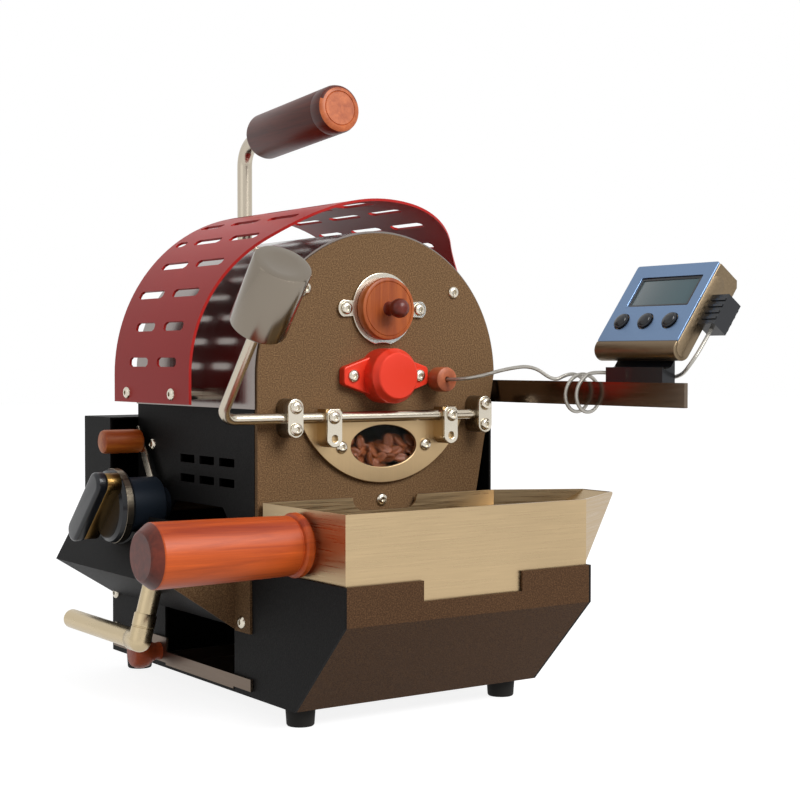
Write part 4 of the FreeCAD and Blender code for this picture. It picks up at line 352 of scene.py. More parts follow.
# Drum and shell: the drum is heat tinted steel on a turned shaft, inside a half round shell of polished
# stainless. Rods, stand-offs, bearing and motor are plain plated steel.
def stainless(name, base, rough, streak, along, tone=0.1):
    """Steel with a slow change of tone and fine brushing lines, so many to a metre along each axis."""
    made, tree = blank(name)
    place = add(tree, "ShaderNodeTexCoord").outputs["Object"]
    stretch = add(tree, "ShaderNodeMapping", {"Vector": place, "Scale": along})
    lines = add(tree, "ShaderNodeTexNoise", {"Vector": stretch.outputs[0], "Scale": 1.0, "Detail": 4.0})
    wear = add(tree, "ShaderNodeTexNoise", {"Vector": place, "Scale": 18.0, "Detail": 3.0})
    rough_lines = add(tree, "ShaderNodeMapRange", {
        "Value": lines.outputs["Fac"], "From Min": 0.3, "From Max": 0.7, "To Min": rough - streak,
        "To Max": rough + streak})
    dull = add(tree, "ShaderNodeMapRange", {"Value": wear.outputs["Fac"], "To Min": 1 - tone,
                                            "To Max": 1 + tone / 2})
    line_tone = add(tree, "ShaderNodeMapRange", {
        "Value": lines.outputs["Fac"], "From Min": 0.3, "From Max": 0.7, "To Min": 1 - streak,
        "To Max": 1.0})
    both = add(tree, "ShaderNodeMath", {0: dull.outputs[0], 1: line_tone.outputs[0]},
               operation="MULTIPLY")
    shade = add(tree, "ShaderNodeMix", {"Factor": 1.0, "A": colour(base), "B": both.outputs[0]},
                data_type="RGBA", blend_type="MULTIPLY")
    metal = add(tree, "ShaderNodeBsdfPrincipled", {
        "Base Color": shade.outputs["Result"], "Metallic": 1.0, "Roughness": rough_lines.outputs[0]})
    add(tree, "ShaderNodeOutputMaterial", {"Surface": metal.outputs[0]})
    return made


# Polished sheet mirrors the studio in soft bands, with lines 1.1 mm apart, coarse enough to show. Zinc
# plate is pale and even. The drum's steel is brown from heat.
polished = stainless("polished_stainless_sheet", "#8E8580", 0.16, 0.05, (60, 900, 60))
plain_steel = stainless("plain_zinc_plated_steel", "#BDB3A2", 0.24, 0.01, (150, 150, 150), 0.04)
drum_steel = stainless("heat_tinted_drum_steel", "#6B5847", 0.34, 0.08, (60, 700, 60))
dress(polished, "outer_shell")
dress(plain_steel, "cover_standoffs", "probe_stem", "burner_tube", "drum_shaft", "rear_bearing",
      "drum_motor", "hinge_rod", "carry_rod")
dress(drum_steel, "drum_barrel", "drum_vanes", "drum_spider")


# Fasteners: M4 button heads of bright steel with a hex socket, wherever sheets are screwed together.
# Each is one head on a point, set along that point's own direction.
head_rings = [(0, 0), (3.8, 0), (3.8, 0.35), (3.5, 1.2), (2.9, 1.75), (2.1, 2.05), (1.5, 2.1), (1.35, 1.9),
              (1.25, 0.7), (0, 0.6)]
socket_depth, socket_rim, socket_half_width = 0.5, 1.45, 0.92
head = turned(head_rings, 24)
for vert in head.verts:
    if vert.co.z > socket_depth and vert.co.xy.length < socket_rim:
        sixth = math.tau / 6
        from_flat = (math.atan2(vert.co.y, vert.co.x) + sixth / 2) % sixth - sixth / 2
        vert.co.xy *= socket_half_width / math.cos(from_flat)
head_mesh = settle(head)
head_mesh.shade_smooth()
head_mesh.set_sharp_from_angle(angle=math.radians(32))
head_form = bpy.data.objects.new("screw_head_form", head_mesh)

setter = bpy.data.node_groups.new("set_on_points", "GeometryNodeTree")
for name, kind in (("Points", "NodeSocketGeometry"), ("Form", "NodeSocketObject"),
                   ("Finish", "NodeSocketMaterial")):
    setter.interface.new_socket(name, in_out="INPUT", socket_type=kind)
setter.interface.new_socket("Pieces", in_out="OUTPUT", socket_type="NodeSocketGeometry")
given = add(setter, "NodeGroupInput")
form = add(setter, "GeometryNodeObjectInfo", {"Object": given.outputs["Form"]})
heading = add(setter, "GeometryNodeInputNamedAttribute", {"Name": "heading"}, data_type="FLOAT_VECTOR")
roll = add(setter, "GeometryNodeInputNamedAttribute", {"Name": "roll"}, data_type="FLOAT")
facing = add(setter, "FunctionNodeAlignRotationToVector", {"Vector": heading.outputs[0]}, axis="Z")
spin = add(setter, "FunctionNodeAxisAngleToRotation", {"Axis": (0, 0, 1), "Angle": roll.outputs[0]})
both = add(setter, "FunctionNodeRotateRotation", {"Rotation": facing.outputs[0],
                                                  "Rotate By": spin.outputs[0]}, rotation_space="LOCAL")
placed = add(setter, "GeometryNodeInstanceOnPoints", {
    "Points": given.outputs["Points"], "Instance": form.outputs["Geometry"], "Rotation": both.outputs[0]})
real = add(setter, "GeometryNodeRealizeInstances", {"Geometry": placed.outputs[0]})
coated = add(setter, "GeometryNodeSetMaterial", {"Geometry": real.outputs[0],
                                                 "Material": given.outputs["Finish"]})
add(setter, "NodeGroupOutput", {"Pieces": coated.outputs[0]})


def set_on_points(form, spots, finish):
    """One mesh of a form repeated: each spot is (place in mm, heading, roll)."""
    mesh = bpy.data.meshes.new("spots")
    mesh.from_pydata([[value * mm for value in place] for place, heading, roll in spots], [], [])
    for name, kind, field, column in (("heading", "FLOAT_VECTOR", "vector", 1),
                                      ("roll", "FLOAT", "value", 2)):
        written = mesh.attributes.new(name, kind, "POINT")
        for rank, spot in enumerate(spots):
            setattr(written.data[rank], field, spot[column])
    carrier = bpy.data.objects.new("spots", mesh)
    show(carrier)
    show(form)
    step = carrier.modifiers.new("set_on_points", "NODES")
    step.node_group = setter
    for item in setter.interface.items_tree:
        if item.in_out == "INPUT" and item.name != "Points":
            step[item.identifier] = {"Form": form, "Finish": finish}[item.name]
    bpy.context.view_layer.update()
    made = bpy.data.meshes.new_from_object(carrier.evaluated_get(bpy.context.evaluated_depsgraph_get()))
    bpy.data.objects.remove(carrier)
    bpy.context.scene.collection.objects.unlink(form)
    return made


to_front, to_left, to_right, upward = (0, -1, 0), (-1, 0, 0), (1, 0, 0), (0, 0, 1)
axis_height, port_height, rod_height = 195.3, 235, 171.5
clamp_side, screw_pitch, link_face = 67.5, 12.4, -14
body_screws = [((side, 0, 246.12), to_front) for side in (-52.94, 52.94)]
body_screws += [((0, 0, 121.6), to_front)]
body_screws += [((side, -2, port_height), to_front) for side in (-26, 26)]
body_screws += [((side, -6, axis_height), to_front) for side in (-23.5, 23.5)]
body_screws += [((-86.5, 15, 53.9), to_left)]
body_screws += [((-85, back, height), to_left) for back, height in ((133, 151), (189, 50), (189, 27))]
body_screws += [((88.5, back, 185.35), to_right) for back in (8, 26)]
body_screws += [((side, link_face, rod_height + rise), to_front)
                for side in (-clamp_side, clamp_side) for rise in (-screw_pitch / 2, screw_pitch / 2)]
body_screws += [((way * 105, back, 184.3), (way, 0, 0)) for way in (-1, 1) for back in (67, 128)]
door_screws = [((side, -2.8, 153.6), to_front) for side in (-30, 30)]
door_screws += [((side, link_face, rod_height), to_front) for side in (-42, 42)]
# Screws come to rest by chance, so each head is rolled a step further than the one before.
body_roll, door_roll = 0.7, 1.1
body_screws = [(place, heading, body_roll * rank) for rank, (place, heading) in enumerate(body_screws)]
door_screws = [(place, heading, door_roll * rank) for rank, (place, heading) in enumerate(door_screws)]

# Bright polished steel: pale and even, with a clear highlight along each edge.
bright_steel = stainless("bright_polished_steel", "#CEC6B6", 0.24, 0.01, (150, 150, 150), 0.04)
heads = finish_piece(set_on_points(head_form, body_screws, bright_steel), "body_screw_heads", "frame",
                     bright_steel, 32)
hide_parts("button_screws")
heads = finish_piece(set_on_points(head_form, door_screws, bright_steel), "door_screw_heads", "door",
                     bright_steel, 32)
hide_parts("door_screws")


# Front bearing: an aluminium flange and a turned cap over the drum's shaft, both anodised bright red.
# Two screws hold the flange to the front plate.
def plate(outlines, thick, edge, across, up, at, rounding=1):
    """A flat plate with eased edges, its back plane at a point; the first outline is the outer one."""
    flat = bpy.data.curves.new("plate", "CURVE")
    flat.dimensions = "2D"
    flat.fill_mode = "BOTH"
    flat.extrude = thick / 2 - edge
    flat.bevel_depth = edge
    flat.bevel_resolution = rounding
    flat.offset = -edge
    for outline in outlines:
        spline = flat.splines.new("POLY")
        spline.points.add(len(outline) - 1)
        for point, (first, second) in zip(spline.points, outline):
            point.co = (first, second, 0, 1)
        spline.use_cyclic_u = True
    maker = bpy.data.objects.new("plate", flat)
    show(maker)
    made = bpy.data.meshes.new_from_object(maker.evaluated_get(bpy.context.evaluated_depsgraph_get()))
    bpy.data.objects.remove(maker)
    shape = bmesh.new()
    shape.from_mesh(made)
    bpy.data.meshes.remove(made)
    across, up = Vector(across), Vector(up)
    out = across.cross(up)
    turn = Matrix((across, up, out)).transposed().to_4x4()
    shape.transform(Matrix.Translation(Vector(at) + out * (thick / 2)) @ turn)
    return settle(shape)


def arc(middle, radius, first, last, steps):
    """Points along an arc, in degrees."""
    turns = [math.radians(first + (last - first) * step / steps) for step in range(steps + 1)]
    return [(middle[0] + radius * math.cos(turn), middle[1] + radius * math.sin(turn)) for turn in turns]


def softened(corners, radius, steps=8):
    """An outline with each corner rounded."""
    outline = []
    for rank, corner in enumerate(corners):
        here = Vector(corner)
        before = (Vector(corners[rank - 1]) - here).normalized()
        after = (Vector(corners[(rank + 1) % len(corners)]) - here).normalized()
        half = before.angle(after) / 2
        middle = here + (before + after).normalized() * (radius / math.sin(half))
        near = here + before * (radius / math.tan(half))
        far = here + after * (radius / math.tan(half))
        for step in range(steps + 1):
            spoke = (near - middle).lerp(far - middle, step / steps).normalized() * radius
            outline.append(tuple(middle + spoke))
    return outline


def rectangle(left, low, right, high):
    """The corners of an upright rectangle."""
    return [(left, low), (right, low), (right, high), (left, high)]


def stadium(middle, width, tall, lean=0.0):
    """A slot outline with round ends, leaning from upright by an angle."""
    half = tall / 2 - width / 2
    points = arc((0, half), width / 2, 0, 180, 16) + arc((0, -half), width / 2, 180, 360, 16)
    turn = math.radians(lean)
    return [(middle[0] + x * math.cos(turn) + y * math.sin(turn),
             middle[1] - x * math.sin(turn) + y * math.cos(turn)) for x, y in points]


# Red anodising: an even satin red that goes pale where it faces the lamp.
red_anodised = satin("red_anodised_aluminium", "#E53A22", 0.34, 0.15)
tip, tip_half, waist_half = 30, 5, 15
flange_outline = [(-tip, axis_height - tip_half), (0, axis_height - waist_half),
                  (tip, axis_height - tip_half), (tip, axis_height + tip_half),
                  (0, axis_height + waist_half), (-tip, axis_height + tip_half)]
flange = plate([softened(flange_outline, 2.5)], 6, 0.7, to_right, upward, (0, 0, 0))
cap_rings = [(9.4, 0), (16.3, 0), (16.3, 13.6), (16.0, 14.5), (15.4, 15.1), (13.7, 17.9), (13.0, 18.4),
             (12.2, 18.5), (0, 18.5), (0, 15), (9.4, 15), (9.4, 0)]
cap = settle(turned(cap_rings, 72), (0, 0, axis_height), to_front)
bearing = finish_piece(joined([flange, cap]), "bearing_flange_and_cap", "frame",
                       red_anodised, 15)
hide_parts("front_bearing")


# Charge port: a bright steel ring with two ears, screwed on, closed by a turned wooden plug with a ball
# knob. The ring is hollowed at its foot to clear the bearing's cap.
def wood(name, dark, light, along, rough=0.42):
    """Oiled wood with straight grain, so many fibres to a metre along each axis, coarse so that they show."""
    made, tree = blank(name)
    place = add(tree, "ShaderNodeTexCoord").outputs["Object"]
    stretch = add(tree, "ShaderNodeMapping", {"Vector": place, "Scale": along})
    fibre = add(tree, "ShaderNodeTexNoise", {"Vector": stretch.outputs[0], "Scale": 1.0, "Detail": 7.0,
                                             "Roughness": 0.66, "Distortion": 0.5})
    slow = add(tree, "ShaderNodeTexNoise", {"Vector": stretch.outputs[0], "Scale": 0.22, "Detail": 2.0})
    both = add(tree, "ShaderNodeMath", {0: fibre.outputs["Fac"], 1: slow.outputs["Fac"]}, operation="ADD")
    ramp = add(tree, "ShaderNodeMapRange", {"Value": both.outputs[0], "From Min": 0.72, "From Max": 1.28})
    tint = add(tree, "ShaderNodeMix", {"Factor": ramp.outputs[0], "A": colour(dark), "B": colour(light)},
               data_type="RGBA")
    bump = add(tree, "ShaderNodeBump", {"Height": fibre.outputs["Fac"], "Strength": 0.1,
                                        "Distance": 0.0003})
    grain = add(tree, "ShaderNodeBsdfPrincipled", {
        "Base Color": tint.outputs["Result"], "Roughness": rough, "Specular IOR Level": 0.35,
        "Normal": bump.outputs["Normal"]})
    add(tree, "ShaderNodeOutputMaterial", {"Surface": grain.outputs[0]})
    return made


ring_radius, port_radius, ear_reach, ear_radius, outline_points = 21.5, 16.5, 26, 5.4, 180
hollow_radius, cap_below = 19.6, port_height - axis_height
outline = []
for step in range(outline_points):
    turn = math.tau * step / outline_points
    reach = ring_radius
    ear = ear_radius ** 2 - (ear_reach * math.sin(turn)) ** 2
    if ear > 0:
        reach = max(reach, abs(ear_reach * math.cos(turn)) + math.sqrt(ear))
    hollow = hollow_radius ** 2 - (cap_below * math.cos(turn)) ** 2
    if hollow > 0 and math.sin(turn) < 0:
        reach = min(reach, cap_below * -math.sin(turn) - math.sqrt(hollow))
    outline.append((reach * math.cos(turn), port_height + reach * math.sin(turn)))
hole = arc((0, port_height), port_radius, 0, 354, 59)
ring = finish_piece(plate([outline, hole], 2, 0.3, to_right, upward, (0, 0, 0)), "charge_port_ring", "frame",
                    bright_steel, 15)
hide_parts("charge_ring")

# Oiled hardwood: warm red brown, with upright fibres 4 mm apart across the plug's face.
wood_face = wood("oiled_wood_plug", "#85370F", "#BC632A", (260, 260, 18))
plug_rings = [(0, -8.7), (15.6, -8.7), (16.2, -8), (16.2, 2.4), (18.5, 2.4), (18.5, 7.2), (18.2, 7.9),
              (17.5, 8.3), (16.4, 8.3), (16.1, 7.95), (15.8, 8.3), (0, 8.3)]
plug = finish_piece(settle(turned(plug_rings, 64), (0, 0, port_height), to_front), "turned_charge_plug",
                    "plug", wood_face)
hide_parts("charge_plug")

# Dark oiled wood: a deep red brown with a small bright highlight on the ball.
wood_dark = wood("oiled_dark_wood_knob", "#43130B", "#6E2414", (260, 30, 260), 0.34)
ball_rings = [(0, 8.2), (4.3, 8.3), (3.5, 9.6), (3.3, 12), (3.9, 14), (5.3, 16.4), (5.8, 18.6), (5.6, 20.6),
              (4.6, 22.6), (2.9, 23.9), (1.3, 24.3), (0, 24.3)]
ball = finish_piece(settle(turned(ball_rings), (0, 0, port_height), to_front), "turned_plug_knob", "plug",
                    wood_dark, 60)
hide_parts("plug_knob")


# Probe knob: a short turned wooden bobbin, pressed on the probe's steel stem above the door.
# Its end is bored, and the thermometer lead comes out of it.
# Oiled wood: a lighter red brown, the grain along the bobbin.
wood_bobbin = wood("oiled_wood_bobbin", "#7C3A1E", "#B9663F", (260, 18, 260))
bobbin_rings = [(0, 5), (6.4, 5), (7.3, 5.8), (7.5, 7), (7.5, 14.4), (7.2, 15.5), (6.4, 16), (1.8, 16),
                (1.4, 15.4), (1.4, 13.5), (0, 13.5)]
bobbin = finish_piece(settle(turned(bobbin_rings, 28), (37, 0, 193), to_front), "turned_probe_knob",
                      "frame", wood_bobbin)
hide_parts("probe_knob")


# Door: a half moon of brushed steel that hangs from the hinge rod by two link plates, with an oval pane
# of glass behind its window. The links' lower holes are open.
# Brushed steel: warm and satin, with upright lines 0.7 mm apart.
door_steel = stainless("brushed_door_steel", "#B89E78", 0.36, 0.06, (1400, 60, 40))
pane_height, pane_half_width, pane_half_tall, pane_points = 153.6, 23.5, 12.5, 64
door_outline = arc((0, axis_height), 63.5, -22, -158, 60)
turns = [math.tau * step / pane_points for step in range(pane_points)]
window = [(pane_half_width * math.cos(turn), pane_height + pane_half_tall * math.sin(turn)) for turn in turns]
door = finish_piece(plate([door_outline, window], 2.5, 0.35, to_right, upward, (0, -0.3, 0)),
                    "half_moon_door", "door", door_steel, 15)
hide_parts("door_plate")

# Clear glass: a thin pane with a trace of smudges, so the beans show through it.
glass, tree = blank("clear_sight_glass")
place = add(tree, "ShaderNodeTexCoord").outputs["Object"]
smudge = add(tree, "ShaderNodeTexNoise", {"Vector": place, "Scale": 60.0})
film = add(tree, "ShaderNodeMapRange", {"Value": smudge.outputs["Fac"], "To Min": 0.0, "To Max": 0.08})
pane = add(tree, "ShaderNodeBsdfPrincipled", {
    "Base Color": (1, 1, 1, 1), "Roughness": film.outputs[0], "Transmission Weight": 1.0, "IOR": 1.2,
    "Alpha": 0.35})
add(tree, "ShaderNodeOutputMaterial", {"Surface": pane.outputs[0]})
dress(glass, "sight_glass")
dress(door_steel, "door_blocks")

link_half, link_top, link_shoulder, link_hole_height = 5, 176.5, 174.5, 159.2
links = []
for middle in (-41.5, 41.5):
    link = [(middle - link_half, link_shoulder), (middle - link_half, link_hole_height)]
    link += arc((middle, link_hole_height), link_half, 180, 360, 16)[1:]
    link += [(middle + link_half, link_shoulder), (middle + 3, link_top), (middle - 3, link_top)]
    hole = arc((middle, link_hole_height), 2.1, 0, 345, 23)
    links.append(plate([link, hole], 2, 0.4, to_right, upward, (0, -12, 0)))
links = finish_piece(joined(links), "door_link_plates", "door", bright_steel, 15)
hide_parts("door_links")


# Roasted beans: a loose heap in the drum's mouth, behind the sight glass, in two layers.
# Each is a flattened oval with a crease along its flat side.
bean = bmesh.new()
bmesh.ops.create_uvsphere(bean, u_segments=12, v_segments=8, radius=1)
for vert in bean.verts:
    crease = math.exp(-(vert.co.x / 0.28) ** 2)
    if vert.co.z > 0:
        vert.co.z = vert.co.z * 0.55 - 0.4 * crease * vert.co.z
    vert.co = (vert.co.x * 3.3, vert.co.y * 4.9, vert.co.z * 2.6)
bean_mesh = settle(bean)
bean_mesh.shade_smooth()
bean_form = bpy.data.objects.new("bean_form", bean_mesh)
# Roasted skin: warm brown with a slight oily shine.
roast = satin("roasted_bean_skin", "#7D4220", 0.38, coat=0.1, peel_scale=500.0)
chance = random.Random(11)
bean_rows, bean_columns, heap_foot, mouth_radius = 5, 9, 141.5, 53.5
column_pitch, row_pitch, layer_rise = 7.2, 4.6, 1.6
bean_spots = []
for layer, depth in enumerate((5.6, 9.4)):
    for row in range(bean_rows):
        for column in range(bean_columns):
            stagger = column_pitch / 2 * (row % 2 - 0.5)
            across = (column - bean_columns // 2) * column_pitch + stagger + chance.uniform(-1.1, 1.1)
            height = heap_foot + row * row_pitch + layer * layer_rise + chance.uniform(-0.8, 0.8)
            heading = Vector((chance.uniform(-0.8, 0.8), -1, chance.uniform(-0.8, 0.8))).normalized()
            heap_top = 3.2 + 0.5 * math.sin(column * 1.3)
            if row + layer * 0.5 > heap_top or math.hypot(across, axis_height - height) > mouth_radius:
                continue
            bean_spots.append(((across, depth + chance.uniform(-0.4, 0.4), height), heading,
                               chance.uniform(0, math.tau)))
finish_piece(set_on_points(bean_form, bean_spots, roast), "roasted_beans", "frame", roast, 80)


# Hinge rod, clamps and counterweight: a plated rod in two polished stadium clamps with screwed caps, and
# a turned steel weight pinned by a grub screw on the rod's bent arm, which keeps the door shut.
caps = joined([plate([stadium((side, rod_height), 10, 22.4)], 2, 0.45, to_right, upward, (0, -12, 0))
               for side in (-clamp_side, clamp_side)])
caps = finish_piece(caps, "clamp_caps", "frame", bright_steel, 15)
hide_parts("clamp_plates")

# Ground steel: a darker grey, with fine grinding lines on its edges.
clamp_steel = stainless("ground_clamp_steel", "#8C8272", 0.3, 0.05, (60, 900, 60))
dress(clamp_steel, "rod_clamps")

# Turned steel: dark and smooth, with long soft highlights down the weight.
weight_steel = stainless("turned_weight_steel", "#857C70", 0.2, 0.03, (60, 60, 60), 0.05)
lean = math.radians(39.6)
arm_way = Vector((0, -math.sin(lean), math.cos(lean)))
weight_foot = Vector((-112.8, -8, rod_height)) + arm_way * 66
weight_rings = [(3.2, 0), (14.6, 0), (15.6, 0.4), (16, 1.4), (16, 40.6), (15.6, 41.6), (14.6, 42), (9, 41.4),
                (4, 41.0), (0, 40.9), (0, 10.5), (3.2, 10.5), (3.2, 0)]
weight = settle(turned(weight_rings, 72), weight_foot, arm_way)
grub_rings = [(0, 14.5), (1.9, 14.5), (1.9, 16.1), (1.5, 16.5), (0.9, 16.5), (0.9, 15.6), (0, 15.6)]
grub_way = Vector((0.8, -0.6 * math.cos(lean), -0.6 * math.sin(lean)))
grub = settle(turned(grub_rings, 16), weight_foot + arm_way * 30, grub_way)
weight = finish_piece(joined([weight, grub]), "turned_counterweight", "door", weight_steel)
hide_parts("counterweight")


# Cover: perforated steel sheet rolled to a half round with a swooping front edge, under a satin red coat.
# It stands off the shell on plated spacers.
# Satin coat: a strong even red with a low, soft highlight.
red_coat = satin("satin_red_coat", "#B32521", 0.4, shine=0.15)
dress(red_coat, "perforated_cover")


# Carrying handle: a plated rod that stands on the motor box, bent forward into a turned grip of dark oiled
# wood. The grip's end shows paler end grain.
# Dark oiled wood: a deep red brown, the grain along the grip in streaks 70 mm long.
wood_back = wood("oiled_wood_carrying_grip", "#3F130B", "#75301C", (240, 14, 240))
grip_back, grip_length = 139, 94
tilt = math.radians(4.5)
grip_way = (0, -math.cos(tilt), math.sin(tilt))
grip_rings = [(5.1, 0), (12, 0), (14.2, 1), (15, 3), (15, 82), (14.8, 82.6), (15, 83.2), (15, 90.4),
              (14.4, 92.6), (12.9, 93.8), (11, grip_length), (10.6, 93.5), (10.2, grip_length),
              (0, grip_length), (0, 48), (5.1, 48), (5.1, 0)]
grip_foot = (0, grip_back, 350.5 + 27 * math.tan(tilt))
grip = finish_piece(settle(turned(grip_rings, 64), grip_foot, grip_way), "turned_carrying_grip", "frame",
                    wood_back)
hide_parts("carry_grip")
grip.data.materials.append(wood("oiled_end_grain", "#8E3D1C", "#CF7444", (200, 200, 200)))
for side in grip.data.polygons:
    side.material_index = int(side.center.y < (grip_back - 92.5) * mm)


# Gas valve, knob and burner lever: a dark cast valve body on the side, a black knob with a steel rim and a
# warm metal band round its bar as painted highlight, and behind it a bent steel lever with a small wooden
# grip. Both turn on the valve's axis.
valve_at = Vector((0, valve_back, valve_height))
# Enamelled casting: black, with a blue cast painted in as the sky's reflection on its shaded side, and an
# even, low gloss.
valve_black_painted_sky_blue = satin("dark_enamelled_casting", "#2A333E", 0.35, 0.2, peel_scale=600.0)
valve_rings = [(0, 0), (10.2, 0), (10.2, 3.4), (4, 3.4), (4, 5.4), (15.6, 5.4), (17, 6.8), (17, 27.4),
               (15.6, 28.9), (4, 28.9), (4, 37), (0, 37)]
valve = finish_piece(settle(turned(valve_rings), valve_at + Vector((-85, 0, 0)), to_left), "valve_casting",
                     "frame", valve_black_painted_sky_blue)
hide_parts("gas_valve")

# Moulded ABS: black, smooth and fairly shiny.
black_plastic = satin("moulded_black_abs", "#17191D", 0.3, coat=0.2)
knob_at, knob_lean = valve_at + Vector((-114.3, 0, 0)), 46
skirt_rings = [(4.1, 0), (21.4, 0), (22.4, 0.6), (22.8, 1.6), (22.8, 6.4), (21.8, 8.8), (19.6, 10), (0, 10),
               (0, 8.6), (4.1, 8.6), (4.1, 0)]
skirt = settle(turned(skirt_rings, 64), knob_at, to_left)
bar_cap = plate([stadium((0, 0), 14, 58, knob_lean)], 7.6, 2.2, to_front, upward,
                knob_at + Vector((-18.1, 0, 0)), 7)
knob = finish_piece(joined([skirt, bar_cap]), "gas_knob_moulding", "valve_knob",
                    black_plastic, 15)
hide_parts("gas_knob")
# Painted highlight: a thin band of warm metal round the knob's bar stands in for the glints on its edges and
# the warm reflection on its side.
knob_glint_metal = stainless("painted_glint_band", "#7D6237", 0.28, 0.06, (60, 60, 60))
band = plate([stadium((0, 0), 12.6, 56.4, knob_lean)], 9.4, 0.5, to_front, upward,
             knob_at + Vector((-9.3, 0, 0)))
finish_piece(band, "gas_knob_band", "valve_knob", knob_glint_metal)
rim_rings = [(22.3, 1.6), (23, 2), (23, 6), (22.3, 6.4), (22.3, 1.6)]
finish_piece(settle(turned(rim_rings, 64), knob_at, to_left), "gas_knob_rim", "valve_knob",
             clamp_steel)

swing_turn, half_blade, grip_reach = 32, 26, 45
swing = math.radians(swing_turn)
lever_at = valve_at + Vector((-88.8, 0, 0))
blade = stadium((-half_blade * math.sin(swing), half_blade * math.cos(swing)), 7, 59, -swing_turn)
tail = softened([(-4.5, 2), (-3.5, -14), (0, -18.6), (12, -20), (17.2, -17.5), (16, -14.5), (4.5, -13),
                 (4.5, 2)], 1.2)
eye, eye_hole = arc((0, 0), 8.5, 0, 350, 35), arc((0, 0), 4.05, 0, 345, 23)
lever_parts = [plate(outlines, 1.4, 0.3, to_front, upward, lever_at)
               for outlines in ([blade], [tail], [eye, eye_hole])]
lever = finish_piece(joined(lever_parts), "burner_lever_blade", "lever", plain_steel, 15)
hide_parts("burner_lever")
# Light oiled wood: orange brown, the grain along the grip.
wood_lever = wood("oiled_wood_lever_grip", "#A3460F", "#E58330", (20, 260, 260))
lever_rings = [(0, 0), (6.6, 0), (7.3, 0.8), (7.5, 2), (7.5, 24), (7, 25.4), (6, 26), (0, 26)]
lever_grip_at = valve_at + Vector((-90.2, grip_reach * math.sin(swing), grip_reach * math.cos(swing)))
lever_grip = finish_piece(settle(turned(lever_rings), lever_grip_at, to_left), "turned_lever_grip",
                          "lever", wood_lever)
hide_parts("lever_grip")


# Gas inlet: nickel plated brass tube along the left side, brazed into a round elbow.
# A stepped pipe rises from the elbow into the underside of the trough.
# Nickel plate: pale, warm and shiny, with faint drawing lines along the tube.
inlet_plate = stainless("nickel_plated_tube", "#C3B18F", 0.3, 0.05, (300, 60, 300), 0.08)
inlet_at, elbow_radius = Vector((-123.5, 73, 38.5)), 6.8
rise_lean = math.radians(15)
rise = Vector((math.sin(rise_lean), 0, math.cos(rise_lean)))
tube_rings = [(0, 0), (elbow_radius, 0), (elbow_radius, 9.3), (6.4, 10), (6, 10), (6, 99.3), (5.4, 100),
              (4.3, 100), (4, 99.5), (4, 50), (0, 50)]
sleeve_rings = [(0, 0), (elbow_radius, 0), (elbow_radius, 7.6), (6.5, 7.8), (6.5, 8.4), (elbow_radius, 8.6),
                (elbow_radius, 15.6), (6.4, 16.2), (6, 16.2), (6, 32.5), (0, 32.5)]
elbow = bmesh.new()
bmesh.ops.create_uvsphere(elbow, u_segments=32, v_segments=20, radius=elbow_radius)
inlet = joined([settle(turned(tube_rings), inlet_at, (0, 1, 0)), settle(turned(sleeve_rings), inlet_at, rise),
                settle(elbow, inlet_at)])
inlet = finish_piece(inlet, "gas_inlet_pipe", "frame", inlet_plate)
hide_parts("gas_inlet")


# Chaff drawer: a shallow folded steel tray under the drum, which slides out to the left.
# Its long lip carries a turned wooden knob, behind the gas inlet's elbow.
# Oiled plain steel: a dark warm grey, with fine lines along the lip.
lip_steel = stainless("oiled_lip_steel", "#6E5F52", 0.36, 0.06, (900, 40, 900))
dress(lip_steel, "chaff_drawer")
# Oiled wood: a bright red brown.
wood_drawer = wood("oiled_wood_drawer_knob", "#9A3A16", "#D55F2C", (20, 260, 260))
drawer_rings = [(0, 0), (5.6, 0), (5.2, 3), (6.4, 6), (8.9, 9), (9.5, 12), (9.3, 16), (8, 18.4), (6.5, 19),
                (0, 19)]
drawer_knob = finish_piece(settle(turned(drawer_rings), (-86.8, 122, 21.5), to_left), "turned_drawer_knob",
                           "drawer", wood_drawer, 50)
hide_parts("drawer_knob")


# Cooling tray: a welded box of brushed stainless with a pouring spout and a long turned wooden handle,
# whose chamfered end shows dark end grain.
# Brushed stainless: warm and satin, with level lines 0.7 mm apart round the box.
brushed = stainless("brushed_stainless_sheet", "#B59E7B", 0.34, 0.10, (30, 30, 1500))
dress(brushed, "cooling_tray")
# Oiled wood: orange red, in long streaks along the handle.
wood_across = wood("oiled_wood_tray_handle", "#8F2E0C", "#DC6122", (11, 200, 200))
handle_side = 83
handle_rings = [(0, 0), (15.2, 0), (15.4, 1.2), (17.2, 1.8), (17.8, 3), (17.8, 5.6), (17, 6.6), (15.6, 7.2),
                (15.6, 7.8), (16.3, 8.6), (16.6, 20), (17.2, 60), (17.5, 89.6), (17.2, 90.3), (13.4, 95.4),
                (12.4, 96), (0, 96)]
handle = finish_piece(settle(turned(handle_rings, 72), (-handle_side, -45, 104), to_left),
                      "turned_tray_handle", "tray", wood_across, 17)
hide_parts("tray_handle")
handle.data.materials.append(wood("oiled_dark_end_grain", "#451509", "#7A3220", (200, 200, 200)))
for side in handle.data.polygons:
    side.material_index = int(side.center.x < -(handle_side + 90.4) * mm)


# Thermometer: a folded stainless case on a plastic clip, with a rebated front, a sunk liquid crystal
# window and three domed push buttons. It stands on the arm, leaning back.
# Polished strip: a dark mirror with fine lines along the arm.
arm_steel = stainless("polished_arm_strip", "#75685C", 0.18, 0.05, (900, 40, 900))
dress(arm_steel, "meter_arm")
dress(black_plastic, "meter_clip", "lead_plug")
fold = math.radians(36.2)
into, case_up = (math.cos(fold), 0, -math.sin(fold)), (math.sin(fold), 0, math.cos(fold))
case_side = to_front
case_foot = Vector((80, -96.5, 209))
case_width, case_tall, face_foot, rebate = 65, 62.5, 7.8, 1.2


def on_case(depth, side, up):
    """A point of the leaning case: into it, along it and up its face, in mm."""
    return case_foot + Vector(into) * depth + Vector(case_side) * side + Vector(case_up) * up
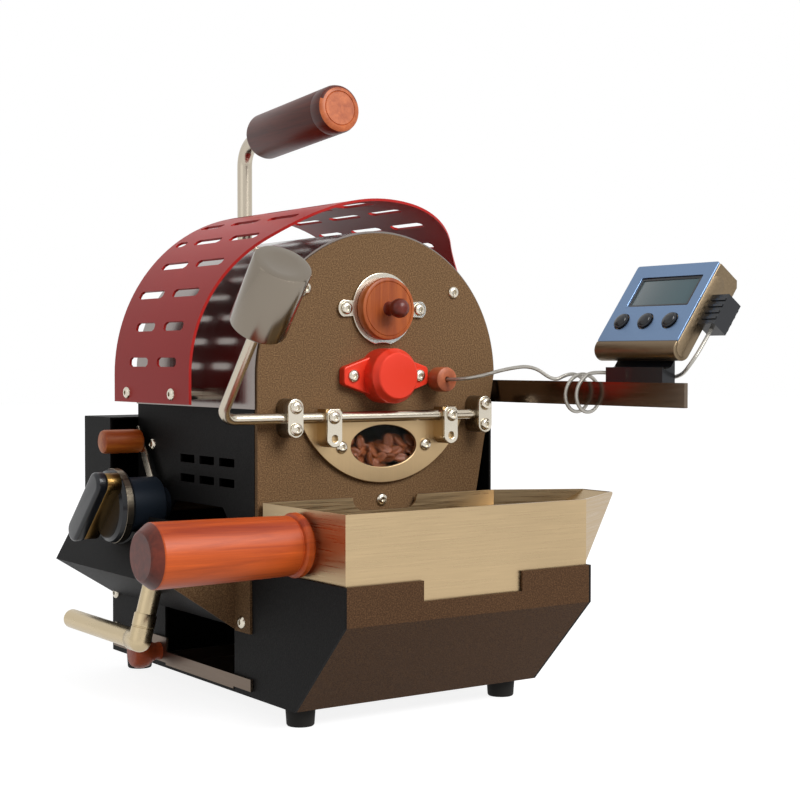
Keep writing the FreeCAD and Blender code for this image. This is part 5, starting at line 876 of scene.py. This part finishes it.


# Brushed case steel: a warm grey with lines along the case. The face is the same steel painted a cooler blue
# as painted reflection of the sky on its shaded, upturned side, its lines up the slope.
case_tan = stainless("brushed_case_steel", "#7C6C56", 0.36, 0.07, (900, 60, 900))
face_steel_painted_sky = stainless("brushed_steel_painted_sky_reflection", "#7088A8", 0.34, 0.05, (60, 900, 60), 0.05)
profile = [(rebate, 61.5), (rebate, face_foot), (0, face_foot), (0, 6.2)]
profile += arc((6.2, 6.2), 6.2, 180, 360, 16)[1:]
profile += [(12.4, 30), (20, 40), (20, 59), (17.5, case_tall), (2.2, case_tall)]
case = finish_piece(plate([profile], case_width, 0.5, into, case_up, case_foot), "thermometer_case",
                    "frame", case_tan, 15)
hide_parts("meter_case")

button_sides, button_height = (12, 31.5, 51), 21.8
window_opening = softened(rectangle(9, 32.5, 58, 53.5), 0.8)
face = [softened(rectangle(0, face_foot + 0.1, case_width, case_tall), 1.4), window_opening]
face += [arc((side, button_height), 5.35, 0, 352, 44) for side in button_sides]
face = finish_piece(plate(face, rebate, 0.25, case_side, case_up, on_case(rebate, 0, 0)),
                    "thermometer_face", "frame", face_steel_painted_sky, 15)
finish_piece(plate([stadium((6.4, 29), 9.6, 54)], 0.5, 0.2, into, case_up, on_case(0, 64.8, 0)),
             "thermometer_cheek", "frame", case_tan)
bezel = [window_opening, softened(rectangle(11.2, 34, 56, 51.5), 0.6)]
finish_piece(plate(bezel, 0.6, 0.1, case_side, case_up, on_case(rebate, 0, 0)), "window_bezel", "frame",
             black_plastic)

# Liquid crystal: a blank grey green window with a soft gloss.
crystal = satin("liquid_crystal_window", "#3E5A60", 0.2, coat=0.5)
pane = softened(rectangle(11, 33.8, 56.2, 51.7), 0.6)
pane = finish_piece(plate([pane], 0.4, 0.05, case_side, case_up, on_case(1.25, 0, 0)), "crystal_window",
                    "frame", crystal)
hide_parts("meter_screen")

button_rings = [(0, -0.2), (4.7, -0.2), (5, 0.3), (5, 1.0), (4.5, 1.5), (4.1, 1.5), (3.9, 1.9), (2.6, 2.45),
                (1.2, 2.6), (0, 2.6)]
out_of_case = [-value for value in into]
for side, name in zip(button_sides, ("back", "middle", "front")):
    button = settle(turned(button_rings, 32), on_case(0, side, button_height), out_of_case)
    button = finish_piece(button, f"push_button_{name}", f"button_{name}", black_plastic)
    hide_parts(f"meter_button_{name}")
